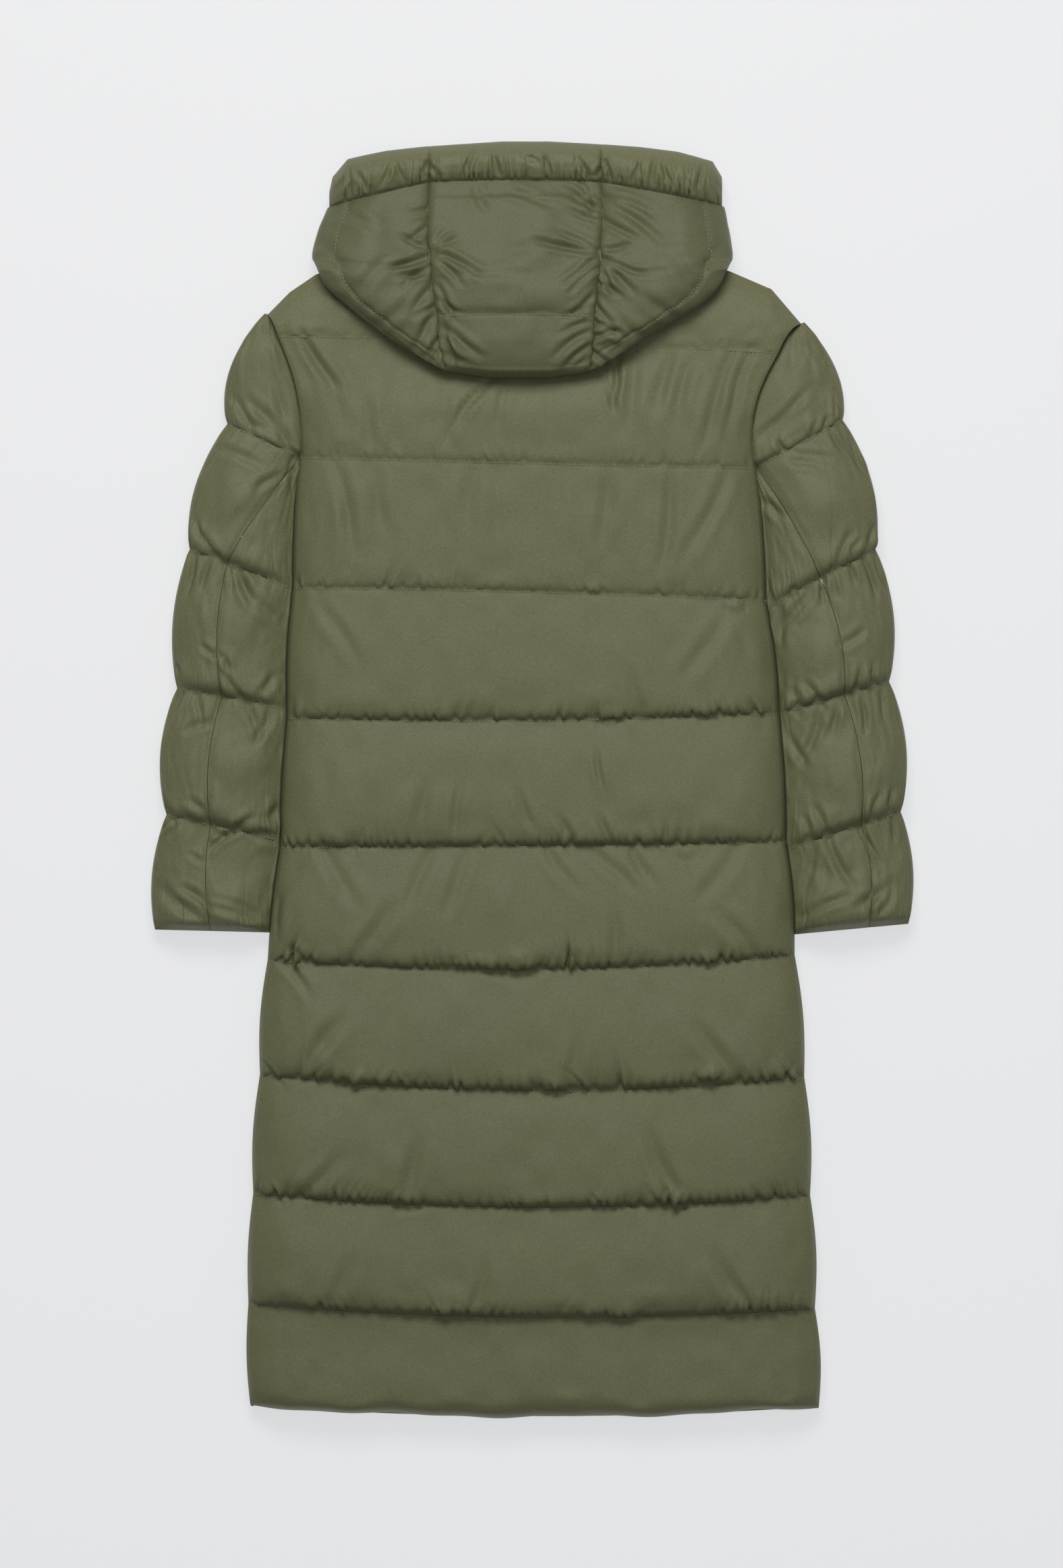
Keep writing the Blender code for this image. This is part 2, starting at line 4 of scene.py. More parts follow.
import bpy
import numpy as np
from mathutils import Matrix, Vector


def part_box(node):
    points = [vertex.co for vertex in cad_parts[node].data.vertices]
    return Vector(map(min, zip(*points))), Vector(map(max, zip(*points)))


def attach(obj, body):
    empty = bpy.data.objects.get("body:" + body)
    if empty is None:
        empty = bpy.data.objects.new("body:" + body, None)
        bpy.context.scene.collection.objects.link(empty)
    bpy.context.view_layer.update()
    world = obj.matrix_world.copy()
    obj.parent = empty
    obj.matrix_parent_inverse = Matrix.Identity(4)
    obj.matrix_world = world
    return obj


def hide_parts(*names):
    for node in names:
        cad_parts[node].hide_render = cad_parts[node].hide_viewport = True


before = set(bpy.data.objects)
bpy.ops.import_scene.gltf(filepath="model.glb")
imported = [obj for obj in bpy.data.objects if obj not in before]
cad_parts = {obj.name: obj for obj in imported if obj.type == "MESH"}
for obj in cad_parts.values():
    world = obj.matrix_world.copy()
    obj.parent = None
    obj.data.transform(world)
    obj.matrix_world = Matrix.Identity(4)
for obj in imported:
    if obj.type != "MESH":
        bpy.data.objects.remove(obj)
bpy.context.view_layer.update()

bl_info = {
    "name": "Long puffer coat",
    "version": (1, 0, 0),
    "blender": (4, 5, 0),
    "location": "3D View > Sidebar > Coat",
    "description": "Builds the filled panels, stitching and zip of a coat laid flat",
    "category": "Object",
}

MM = 0.001

# The pattern's own millimetres are set from the zip: its middle is x = 0, its top end y = 496
ZIP_TOP_Y = 496.0
ZIP_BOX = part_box("front_zip")
SHIFT = np.array([(ZIP_BOX[0][0] + ZIP_BOX[1][0]) / 2, ZIP_BOX[1][1] - ZIP_TOP_Y * MM, 0.0])
ZIP_HALF = 4.0
ZIP_BOTTOM_Y = -640.0

SEAM_LAP = 0.15           # how far sewn pieces go into each other, so that no seam gapes
SIDE_SEAM_Z = 12.0
ARMHOLE_Z = 17.0          # the back's edge reaches this far down inside the sleeves
TURN_Z = 3.4
NECK_HALF = 100.0

# ---------------------------------------------------------------- body tables
Line = namedtuple("Line", "name left_x left_y mid_y right_x right_y valley crest swell_l swell_r")
LINES = (
    Line("shoulder", -273, 482, 546, 280, 472, 24, 42, 0, 0),
    Line("quilt_1", -262, 459, 454, 256, 442, 41, 43, -10, -14),
    Line("quilt_2", -241, 334, 328, 234, 323, 40, 44, 2, 2),
    Line("quilt_3", -247, 199, 195, 243, 186, 39, 47, 3, 3),
    Line("quilt_4", -253, 64, 62, 257, 69, 37, 49, 2, 2),
    Line("quilt_5", -260, -69, -68, 264, -64, 36.5, 49, 2, 3),
    Line("quilt_6", -273, -186, -196, 273, -181, 36, 50, 4, 4),
    Line("quilt_7", -281, -305, -321, 283, -308, 36, 50, 4, 4),
    Line("quilt_8", -288, -428, -442, 289, -430, 36, 50, 3, 4),
    Line("quilt_9", -293, -542, -556, 294, -547, 34, 42, 3, 4),
    Line("hem", -291, -649, -660, 298, -650, 14, 14, 0, 0),
)
UNDERARM = 2
BACK_TOP = ((-273, 482), (-250, 505), (-222, 524), (-95, 556), (0, 546), (95, 556),
            (205, 527), (249, 508), (280, 472))
FRONT_TOP = ((-273, 482), (-250, 505), (-222, 524), (-95, 553), (-60, 520), (0, 500),
             (60, 520), (95, 553), (205, 527), (249, 508), (280, 472))
# Steps down a channel, closer together where it folds over the stitches below it
STEPS = (0.0, 0.05, 0.12, 0.2, 0.29, 0.38, 0.47, 0.56, 0.65, 0.73, 0.8, 0.86, 0.91, 0.96)
BACK_COLUMNS = 98
HOOD_WEIGHT = 13.0        # how far the hood presses the yoke down

# Small pleats that stand above a quilting line: how many for each line, their mean reach
# and their mean depth; the yoke and the upper back are drawn flatter than the skirt.
Pleats = namedtuple("Pleats", "line count reach depth")
PLEATS = (
    Pleats(1, 26, 14, 0.7), Pleats(2, 30, 20, 1.3), Pleats(3, 32, 22, 1.5),
    Pleats(4, 34, 24, 2.1), Pleats(5, 34, 26, 2.3), Pleats(6, 36, 28, 2.6),
    Pleats(7, 36, 28, 2.6), Pleats(8, 38, 28, 2.6), Pleats(9, 34, 26, 2.3),
    Pleats(10, 12, 14, 0.6),
)

# Long creases of the back: where one starts, how far and at what angle it runs
# (90 is towards the hood), its half width and its depth; a ridge has a negative depth.
Crease = namedtuple("Crease", "x y length angle width depth")


def creases(*rows):
    return [Crease(*row) for row in rows]


BACK_CREASES = creases(
    (-235, 462, 74, -58, 4.5, 2.8), (-226, 440, 90, -68, 6, 1.6), (-174, 392, 50, -73, 6, 1.5),
    (-142, 424, 84, -84, 8, 1.2), (-92, 409, 66, -84, 6, 1.3), (-42, 417, 55, -126, 3.5, 3.0),
    (-54, 410, 70, -116, 4.5, 1.9), (-29, 406, 44, -95, 5, 1.3), (22, 408, 62, -88, 7, 1.0),
    (88, 432, 46, -96, 3.5, 3.2), (78, 410, 34, -68, 3.5, 2.4), (112, 431, 70, -104, 6, 1.5),
    (168, 431, 74, -111, 6, 1.7), (212, 434, 106, -115, 6, 2.2), (230, 443, 84, -110, 5, 1.9),
    (140, 440, 60, -97, 6, 1.4), (-206, 322, 96, -72, 6, 2.0), (-160, 318, 70, -80, 7, 1.6),
    (-60, 320, 66, -92, 8, 1.4), (76, 316, 84, -95, 7, 1.8), (150, 318, 112, -103, 6, 2.2),
    (196, 316, 98, -110, 6, 2.4), (-214, 176, 70, -60, 6, 1.8), (196, 172, 84, -118, 7, 2.0),
    (120, 60, 60, 110, 6, 1.6), (-120, -60, 64, 72, 7, 1.8), (-224, -64, 86, -52, 7, 2.0),
    (214, -62, 78, -124, 7, 2.0), (-180, -188, 82, 62, 7, 2.2), (90, -192, 60, 98, 6, 2.0),
    (230, -184, 66, 128, 7, 2.2), (-232, -302, 74, 56, 7, 2.4), (40, -316, 56, 84, 6, 1.8),
    (206, -310, 74, 118, 7, 2.4), (-140, -440, 78, 66, 7, 2.2), (150, -436, 84, 108, 7, 2.4),
    (-236, -430, 66, 50, 6, 2.2), (-60, -552, 60, 80, 6, 1.8), (226, -546, 72, 122, 7, 2.2),
    (-216, -545, 64, 58, 7, 2.0), (-264, -168, 52, 86, 5, 3.0), (-231, -187, 27, 148, 4, 2.4),
    (-258, -187, 50, -53, 4, 2.2), (-72, -8, 60, -96, 4, 1.6), (16, -70, 60, -52, 5, 2.0),
    (62, -70, 64, -48, 5, 2.0), (104, -72, 46, -55, 5, 1.8), (-96, -72, 80, -122, 6, 1.8),
    (-64, -80, 70, -118, 6, 1.6), (42, -68, 36, 112, 4, 2.2), (84, -66, 34, 122, 4, 2.4),
    (76, -8, 40, 104, 3, 2.0), (-16, -10, 50, -62, 4, 1.6),
)

# Tucks caught in a quilting line: a round of cloth with a fold round its lower side
Tuck = namedtuple("Tuck", "x line above radius height")
TUCKS = [Tuck(*row) for row in (
    (82, 4, 4, 13, 4.5), (180, 4, 5, 11, 4.0), (160, 5, -9, 9, 3.5), (-12, 6, 8, 20, 6.0),
    (182, 6, 5, 13, 5.0), (-40, 6, 5, 12, 4.5), (24, 7, 8, 17, 5.5), (184, 7, 12, 12, 6.0),
    (-128, 8, 6, 14, 4.5), (152, 8, 6, 13, 4.5), (66, 3, 5, 9, 3.0), (211, 3, -7, 9, 3.0),
    (-180, 7, 5, 12, 4.0), (96, 9, 6, 14, 4.0), (-90, 9, 5, 12, 3.5),
)]

# ------------------------------------------------------------- sleeve tables
Cuff = namedtuple("Cuff", "name outer_x outer_y inner_y back_seam valley crest swell")
LEFT_SLEEVE = (
    Cuff("cap", -276, 483, 482, 1.0, 24, 38, 17),
    Cuff("seam_1", -315, 369, 334, 0.93, 34, 46, 14),
    Cuff("seam_2", -354, 239, 198, 0.37, 35, 48, 11),
    Cuff("seam_3", -367, 95, 74, 0.41, 35, 48, 12),
    Cuff("seam_4", -378, -36, -62, 0.39, 35, 45, 9),
    Cuff("cuff", -390, -155, -158, 0.49, 22, 22, 0),
)
RIGHT_SLEEVE = (
    Cuff("cap", 283, 474, 472, 1.0, 24, 38, 14),
    Cuff("seam_1", 323, 373, 323, 0.93, 34, 46, 14),
    Cuff("seam_2", 357, 239, 179, 0.51, 35, 48, 12),
    Cuff("seam_3", 371, 102, 69, 0.41, 35, 48, 12),
    Cuff("seam_4", 383, -33, -71, 0.35, 35, 45, 9),
    Cuff("cuff", 391, -149, -160, 0.35, 22, 22, 0),
)
FRONT_SEAM = 0.5
SLEEVE_ROUND = 12.0
SLEEVE_EDGE_Z = 18.0
SLEEVE_REACH = 52.0
SLEEVE_ROWS = 14

# --------------------------------------------------------------- hood tables
Hood = namedtuple("Hood", "seam_y seam_z left_seam left_x left_y right_seam right_x right_y "
                          "edge_z low_z end_x end_y")
HOOD = (
    Hood(425, 57, -87, -93, 424, 61, 67, 424, 52, 44.5, 64, 547),
    Hood(452, 65, -94, -143, 452, 64, 115, 454, 52, 44.5, 82, 551),
    Hood(489, 67, -99, -204, 501, 67, 182, 496, 52, 44.5, 92, 557),
    Hood(517, 66, -103, -221, 527, 70, 203, 527, 52, 44.5, 98, 562),
    Hood(531, 64, -103, -226, 539, 71, 208, 539, 20, 0.5, 99, 570),
    Hood(553, 60, -106, -225, 552, 71, 207, 555, 14, 0.5, 99, 580),
    Hood(586, 53, -107, -219, 573, 74, 203, 578, 12, 0.5, 98, 592),
    Hood(618, 44, -105, -211, 593, 72, 200, 594, 12, 0.5, 97, 604),
)
HOOD_ROWS = 10
FOLD_Y = ((0.0, 424), (0.3, 417), (0.7, 417), (1.0, 424))
CROSS_STITCH_Y = 482.0
BRIM_OUT_Y = ((-211, 602), (-206, 625), (-190, 643), (-150, 651), (-107, 656), (-30, 661),
              (18, 661), (74, 658), (112, 655), (152, 650), (188, 641), (198, 625), (202, 604))
# Height over the seam and share of the way out, round the brim's rolled edge
Roll = namedtuple("Roll", "share z")
BRIM_ROLL = (Roll(0.0, -1.0), Roll(0.1, 4.0), Roll(0.25, 7.5), Roll(0.45, 9.0), Roll(0.65, 7.5),
             Roll(0.82, 0.5), Roll(0.94, -9.0), Roll(1.0, -18.0), Roll(0.98, -27.0))


# ---------------------------------------------------------------- properties
class CoatSettings(bpy.types.PropertyGroup):
    """Sizes and colours of the coat."""

    surplus: bpy.props.FloatProperty(
        name="Surplus", description="How much wider the cloth is cut than the seams it is sewn to",
        default=0.05, min=0.0, max=0.3, subtype="FACTOR")
    pressure: bpy.props.FloatProperty(
        name="Fill pressure", description="How hard the fill pushes the cloth out",
        default=3.2, min=0.0, max=20.0)
    sag: bpy.props.FloatProperty(
        name="Sag", description="Pull of the fill towards the hem",
        default=2.2, min=0.0, max=10.0, unit="ACCELERATION")
    weave_pitch: bpy.props.FloatProperty(
        name="Weave pitch", description="Distance between threads of the shell cloth",
        default=0.0011, min=0.0002, max=0.01, unit="LENGTH", precision=5)
    stitch_length: bpy.props.FloatProperty(
        name="Stitch length", description="Length of one stitch",
        default=0.0028, min=0.001, max=0.01, unit="LENGTH", precision=5)
    stitch_pitch: bpy.props.FloatProperty(
        name="Stitch pitch", description="Distance from stitch to stitch",
        default=0.0042, min=0.001, max=0.02, unit="LENGTH", precision=5)
    stitch_width: bpy.props.FloatProperty(
        name="Thread", description="Thickness of the sewing thread",
        default=0.0011, min=0.0001, max=0.005, unit="LENGTH", precision=5)
    cloth: bpy.props.FloatVectorProperty(
        name="Cloth", description="Colour of the shell cloth", subtype="COLOR", size=3,
        default=(0.128, 0.131, 0.064), min=0.0, max=1.0)
    thread: bpy.props.FloatVectorProperty(
        name="Thread colour", description="Colour of the stitches", subtype="COLOR", size=3,
        default=(0.22, 0.22, 0.15), min=0.0, max=1.0)
    zip_colour: bpy.props.FloatVectorProperty(
        name="Zip colour", description="Colour of the zip", subtype="COLOR", size=3,
        default=(0.04, 0.043, 0.03), min=0.0, max=1.0)


class CoatStageSettings(bpy.types.PropertyGroup):
    """The floor, the lights and the camera."""

    frame_height: bpy.props.FloatProperty(
        name="Frame height", description="Height of what the camera sees on the floor",
        default=1.627, min=0.5, max=5.0, unit="LENGTH")
    camera_height: bpy.props.FloatProperty(
        name="Camera height", description="How far above the floor the camera hangs",
        default=11.0, min=1.0, max=40.0, unit="LENGTH")
    floor: bpy.props.FloatVectorProperty(
        name="Floor", description="Colour of the floor", subtype="COLOR", size=3,
        default=(0.80, 0.805, 0.82), min=0.0, max=1.0)
    floor_glow: bpy.props.FloatProperty(
        name="Floor glow", description="Light that comes up through the white floor",
        default=0.79, min=0.0, max=5.0)
    key: bpy.props.FloatProperty(
        name="Key light", description="Power of the light beyond the hood",
        default=84.0, min=0.0, max=1000.0, unit="POWER")
    fill: bpy.props.FloatProperty(
        name="Soft light", description="Strength of the light from all round",
        default=0.27, min=0.0, max=5.0)


# ------------------------------------------------------------------- helpers
def lerp(a, b, t):
    return a + (b - a) * t


def along(points, x):
    """Height of a polyline of (x, y) points at x."""
    for (x0, y0), (x1, y1) in zip(points, points[1:]):
        if x <= x1:
            return lerp(y0, y1, max(0.0, (x - x0) / (x1 - x0)))
    return points[-1][1]


def quarter(s):
    """A quarter ellipse: 0 at the edge, 1 where it has levelled out."""
    s = min(max(s, 0.0), 1.0)
    return math.sqrt(1.0 - (1.0 - s) ** 2)


FOLD_SHARE = 0.835


def plump(t, fold=FOLD_SHARE):
    """A filled channel: it rises from the stitches above and folds over those below."""
    t = min(max(t, 0.0), 1.0)
    if t < fold:
        return 1.0 - (1.0 - t / fold) ** 1.9
    return math.sqrt(max(0.0, 1.0 - ((t - fold) / (1.0 - fold)) ** 2))


def fold_share(channel, share):
    """Where a channel of the back starts to fold over: it wanders along the stitches."""
    wander = math.sin(9.0 * share + 2.1 * channel) + 0.8 * math.sin(23.0 * share + 4.7 * channel)
    wander += 0.5 * math.sin(51.0 * share + 1.3 * channel * channel)
    return min(0.93, max(0.75, FOLD_SHARE + 0.038 * wander))


def spline_matrix(count, parts, breaks):
    """Rows that blend count points into parts times as many, smooth between the breaks."""
    rows = []
    breaks = sorted(set([0, count - 1, *breaks]))
    for low, high in zip(breaks, breaks[1:]):
        for i in range(low, high):
            for k in range(parts):
                f = k / parts
                weights = np.zeros(count)
                four = (-0.5 * f + f * f - 0.5 * f ** 3, 1 - 2.5 * f * f + 1.5 * f ** 3,
                        0.5 * f + 2 * f * f - 1.5 * f ** 3, -0.5 * f * f + 0.5 * f ** 3)
                for step, weight in zip((-1, 0, 1, 2), four):
                    spot = i + step
                    if spot < low:
                        weights[low] += 2 * weight
                        weights[low + 1] -= weight
                    elif spot > high:
                        weights[high] += 2 * weight
                        weights[high - 1] -= weight
                    else:
                        weights[spot] += weight
                rows.append(weights)
    last = np.zeros(count)
    last[-1] = 1.0
    rows.append(last)
    return np.array(rows)


def refine(grid, row_parts, column_parts, row_breaks=(), column_breaks=()):
    """A finer grid through the same points, with a crease along each break."""
    by_row = spline_matrix(grid.shape[0], row_parts, row_breaks)
    by_column = spline_matrix(grid.shape[1], column_parts, column_breaks)
    return np.einsum("ri,ijk,cj->rck", by_row, grid, by_column)


def normals(grid):
    """Unit normals of a grid whose rows run down and whose columns run across."""
    down = np.gradient(grid, axis=0)
    across = np.gradient(grid, axis=1)
    n = np.cross(down, across)
    length = np.linalg.norm(n, axis=2, keepdims=True)
    return n / np.maximum(length, 1e-9)


def soft_noise(shape, cells, rng):
    """Smooth random values, about cells bumps along each side."""
    coarse = rng.normal(0.0, 1.0, (cells[0] + 4, cells[1] + 4))
    r = np.linspace(1, cells[0] + 1.999, shape[0])
    c = np.linspace(1, cells[1] + 1.999, shape[1])
    i = r.astype(int)
    j = c.astype(int)
    f = (r - i)[:, None]
    g = (c - j)[None, :]
    f = f * f * (3 - 2 * f)
    g = g * g * (3 - 2 * g)
    a = coarse[np.ix_(i, j)] * (1 - g) + coarse[np.ix_(i, j + 1)] * g
    b = coarse[np.ix_(i + 1, j)] * (1 - g) + coarse[np.ix_(i + 1, j + 1)] * g
    return a * (1 - f) + b * f


def grid_faces(rows, columns, flip=False):
    faces = []
    for i in range(rows - 1):
        for j in range(columns - 1):
            a = i * columns + j
            quad = (a, a + columns, a + columns + 1, a + 1)
            faces.append(quad[::-1] if flip else quad)
    return faces


SETTLE_FRAMES = 22


def settle(grid, free, cap, seed, calm, flip=False, surplus=1.0):
    """Blender's cloth fills a panel between its stitches; moves are capped (mm) and calmed."""
    settings = bpy.context.scene.coat
    rows, columns = grid.shape[:2]
    rng = np.random.default_rng(seed)
    start = grid.reshape(-1, 3) * MM
    free = free.reshape(-1)
    start = start + free[:, None] * rng.normal(0.0, 0.0003, start.shape)
    mesh = bpy.data.meshes.new("settling")
    mesh.from_pydata([tuple(p) for p in start], [], grid_faces(rows, columns, flip))
    sheet = bpy.data.objects.new("settling", mesh)
    bpy.context.scene.collection.objects.link(sheet)
    held = sheet.vertex_groups.new(name="held")
    held.add([int(i) for i in np.nonzero(free < 0.5)[0]], 1.0, "REPLACE")
    cloth = sheet.modifiers.new("cloth", "CLOTH")
    c = cloth.settings
    c.quality = 5
    c.mass = 0.1
    c.tension_stiffness = c.compression_stiffness = 15
    c.shear_stiffness = 5
    c.bending_stiffness = 0.02
    c.tension_damping = c.compression_damping = c.shear_damping = 5
    c.bending_damping = 0.5
    c.use_pressure = True
    c.uniform_pressure_force = settings.pressure
    c.vertex_group_mass = "held"
    c.pin_stiffness = 1
    c.shrink_min = -settings.surplus * surplus
    scene = bpy.context.scene
    scene.gravity = (0.0, -settings.sag, 0.0)
    cloth.point_cache.frame_start = 1
    cloth.point_cache.frame_end = SETTLE_FRAMES + 1
    for number in range(1, SETTLE_FRAMES + 1):
        scene.frame_set(number)
    shape = sheet.evaluated_get(bpy.context.evaluated_depsgraph_get()).data
    found = np.empty(len(shape.vertices) * 3)
    shape.vertices.foreach_get("co", found)
    bpy.data.objects.remove(sheet)
    scene.frame_set(1)
    move = found.reshape(-1, 3) / MM - grid.reshape(-1, 3)
    move[~np.isfinite(move)] = 0.0
    size = np.linalg.norm(move, axis=1, keepdims=True)
    move *= np.minimum(1.0, cap / np.maximum(size, 1e-6))
    move = move.reshape(grid.shape)
    loose = free.reshape(rows, columns, 1)
    for _ in range(calm):
        padded = np.pad(move, ((1, 1), (1, 1), (0, 0)), mode="edge")
        mean = (padded[:-2] + 2 * padded[1:-1] + padded[2:]) / 4
        move = (mean[:, :-2] + 2 * mean[:, 1:-1] + mean[:, 2:]) / 4 * loose
    return grid + move


def add_mesh(name, verts, faces):
    """A new object of the coat, from points in the pattern's millimetres."""
    mesh = bpy.data.meshes.new(name)
    mesh.from_pydata([tuple(p) for p in np.asarray(verts) * MM + SHIFT], [], faces)
    piece = bpy.data.objects.new(name, mesh)
    coat_collection().objects.link(piece)
    return piece


def closed_mesh(name, grid, wall, flip=False, stride=4):
    """A panel: its fine outer face, a coarser inner face, and a rim that joins them."""
    rows, columns = grid.shape[:2]
    faces = grid_faces(rows, columns, flip)
    coarse = grid[::stride, ::stride]
    out = normals(coarse) * (-1.0 if flip else 1.0)
    depth = wall[::stride, ::stride, None]
    inner = coarse - out * depth
    across = inner.shape[1]

    def at(i, j):
        return rows * columns + i * across + j

    for i in range(inner.shape[0] - 1):
        for j in range(across - 1):
            quad = (at(i, j), at(i, j + 1), at(i + 1, j + 1), at(i + 1, j))
            faces.append(quad[::-1] if flip else quad)
    last = inner.shape[0] - 1
    edges = []
    for j in range(across - 1):
        fine = [j * stride + k for k in range(stride + 1)]
        edges.append((fine, (at(0, j), at(0, j + 1)), False))
        edges.append(([(rows - 1) * columns + f for f in fine], (at(last, j), at(last, j + 1)), True))
    for i in range(last):
        fine = [(i * stride + k) * columns for k in range(stride + 1)]
        ends = (at(i, across - 1), at(i + 1, across - 1))
        edges.append((fine, (at(i, 0), at(i + 1, 0)), True))
        edges.append(([f + columns - 1 for f in fine], ends, False))
    for fine, (start, end), turn in edges:
        face = (*fine, end, start)
        faces.append(face[::-1] if turn != flip else face)
    piece = add_mesh(name, np.concatenate([grid.reshape(-1, 3), inner.reshape(-1, 3)]), faces)
    piece.data.validate()
    piece.data.shade_smooth()
    piece.data.set_sharp_from_angle(angle=math.radians(70))
    return piece


def coat_collection():
    found = bpy.data.collections.get("coat")
    if found is None:
        found = bpy.data.collections.new("coat")
        bpy.context.scene.collection.children.link(found)
    return found


def finish_piece(piece, node, depth=1.0):
    # a depth below 1 gives the piece a darker copy of the shell colour: painted shade
    piece.data.materials.append(shell_material(depth))
    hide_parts(node)
    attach(piece, "root")


CREASE_DEPTH = 1.2


def troughs(grid, table):
    """How far each point sinks in the soft creases of a table, in millimetres."""
    depth = np.zeros(grid.shape[:2])
    for crease in table:
        angle = math.radians(crease.angle)
        dx = grid[:, :, 0] - crease.x
        dy = grid[:, :, 1] - crease.y
        run = (dx * math.cos(angle) + dy * math.sin(angle)) / crease.length
        off = -dx * math.sin(angle) + dy * math.cos(angle)
        off = off - 0.06 * crease.length * np.sin(3.0 * run + crease.x)
        near = (run > -0.1) & (run < 1.1) & (np.abs(off) < 4 * crease.width)
        taper = np.clip(np.sin(np.pi * np.clip(run * 0.9 + 0.1, 0, 1)), 0, 1) ** 0.7
        shape = np.exp(-(np.abs(off) / crease.width) ** 1.5)
        shape -= 0.55 * np.exp(-((np.abs(off) - 1.9 * crease.width) / crease.width) ** 2)
        depth += np.where(near, CREASE_DEPTH * crease.depth * taper * shape, 0.0)
    return depth


Margin = namedtuple("Margin", "top bottom left right")
TURNED_UP = 0.4           # cloth counts as facing up once its normal rises by this much more


def raise_cloth(fine, lift, flip, level, margin, seams):
    """Lift the cloth along its normals where it faces up, but not at its edges and seams."""
    rows, columns = lift.shape
    out = normals(fine) * (-1.0 if flip else 1.0)
    lift = lift * np.clip((out[:, :, 2] - level) / TURNED_UP, 0, 1)
    lift[seams] = 0
    lift[:margin.top] = 0
    lift[rows - margin.bottom:] = 0
    lift[:, :margin.left] = 0
    lift[:, columns - margin.right:] = 0
    return fine + out * lift[:, :, None], out


# ------------------------------------------------------------------ stitches
STITCH_SIDES = 5
# Rings of one stitch: place along it, thickness and rise, as shares of its length and radius
STITCH_RINGS = ((-0.5, 0.15, -0.7), (-0.3, 0.9, 0.0), (0.0, 1.0, 0.25), (0.3, 0.9, 0.0), (0.5, 0.15, -0.7))


def unit(vector):
    return vector / max(np.linalg.norm(vector), 1e-6)


def on_run(spot, far, values):
    """The value at a distance along a run, one number for each axis."""
    return np.array([np.interp(spot, far, values[:, k]) for k in range(3)])


def stitch_mesh(name, runs):
    """Short threads along each run of points; a run is an array of points and normals."""
    settings = bpy.context.scene.coat
    pitch = settings.stitch_pitch / MM
    length = settings.stitch_length / MM
    radius = settings.stitch_width / MM / 2
    verts = []
    faces = []
    for points, ups in runs:
        steps = np.linalg.norm(np.diff(points, axis=0), axis=1)
        far = np.concatenate([[0.0], np.cumsum(steps)])
        for spot in np.arange(pitch, far[-1] - pitch, pitch):
            centre = on_run(spot, far, points)
            up = unit(on_run(spot, far, ups))
            way = unit(on_run(spot + 1.0, far, points) - centre)
            side = unit(np.cross(up, way))
            first = len(verts)
            for share, size, rise in STITCH_RINGS:
                middle = centre + way * share * length + up * radius * (rise + 0.6)
                for k in range(STITCH_SIDES):
                    a = 2 * math.pi * k / STITCH_SIDES
                    verts.append(middle + radius * size * (side * math.cos(a) + up * math.sin(a)))
            last = first + (len(STITCH_RINGS) - 1) * STITCH_SIDES
            for ring in range(first, last, STITCH_SIDES):
                for k in range(STITCH_SIDES):
                    a = ring + k
                    b = ring + (k + 1) % STITCH_SIDES
                    faces.append((a, b, b + STITCH_SIDES, a + STITCH_SIDES))
            faces.append(tuple(first + k for k in reversed(range(STITCH_SIDES))))
            faces.append(tuple(last + k for k in range(STITCH_SIDES)))
    piece = add_mesh(name, verts, faces)
    piece.data.shade_smooth()
    piece.data.materials.append(thread_material())
    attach(piece, "root")


# ----------------------------------------------------------------- materials
WAVE_SCALE = 0.314        # the wave texture's scale for one band in each metre


def new_material(name):
    found = bpy.data.materials.get(name)
    if found is not None:
        return found, None
    mat = bpy.data.materials.new(name)
    mat.use_nodes = True
    return mat, mat.node_tree


def add_node(tree, kind, values, **settings):
    """A shader node with its settings and the values of its sockets."""
    node = tree.nodes.new("ShaderNode" + kind)
    for name, value in settings.items():
        setattr(node, name, value)
    for name, value in values.items():
        node.inputs[name].default_value = value
    return node


def texture(tree, kind, values, **settings):
    """The strength of a texture in the piece's own coordinates."""
    node = add_node(tree, kind, values, **settings)
    place = add_node(tree, "TexCoord", {})
    tree.links.new(place.outputs["Object"], node.inputs["Vector"])
    return node.outputs["Fac"]


def maths(tree, operation, first, second):
    node = add_node(tree, "Math", {}, operation=operation)
    tree.links.new(first, node.inputs[0])
    tree.links.new(second, node.inputs[1])
    return node.outputs["Value"]


def spread(tree, value, low, high):
    """A strength from 0 to 1, spread from low to high."""
    node = add_node(tree, "MapRange", {"To Min": low, "To Max": high})
    tree.links.new(value, node.inputs["Value"])
    return node.outputs["Result"]


def tones(tree, strength, colour, low, high):
    """A colour that varies from low to high times the given one."""
    ends = {"Color1": (*[c * low for c in colour], 1.0), "Color2": (*[c * high for c in colour], 1.0)}
    node = add_node(tree, "MixRGB", ends)
    tree.links.new(strength, node.inputs["Fac"])
    return node.outputs["Color"]


def shaded(tree, colour, strength, low, high, share):
    """A colour darkened and lightened by a texture."""
    node = add_node(tree, "MixRGB", {"Fac": share}, blend_type="MULTIPLY")
    tree.links.new(colour, node.inputs["Color1"])
    tree.links.new(spread(tree, strength, low, high), node.inputs["Color2"])
    return node.outputs["Color"]


def bump(tree, height, strength, distance):
    node = add_node(tree, "Bump", {"Strength": strength, "Distance": distance})
    tree.links.new(height, node.inputs["Height"])
    return node


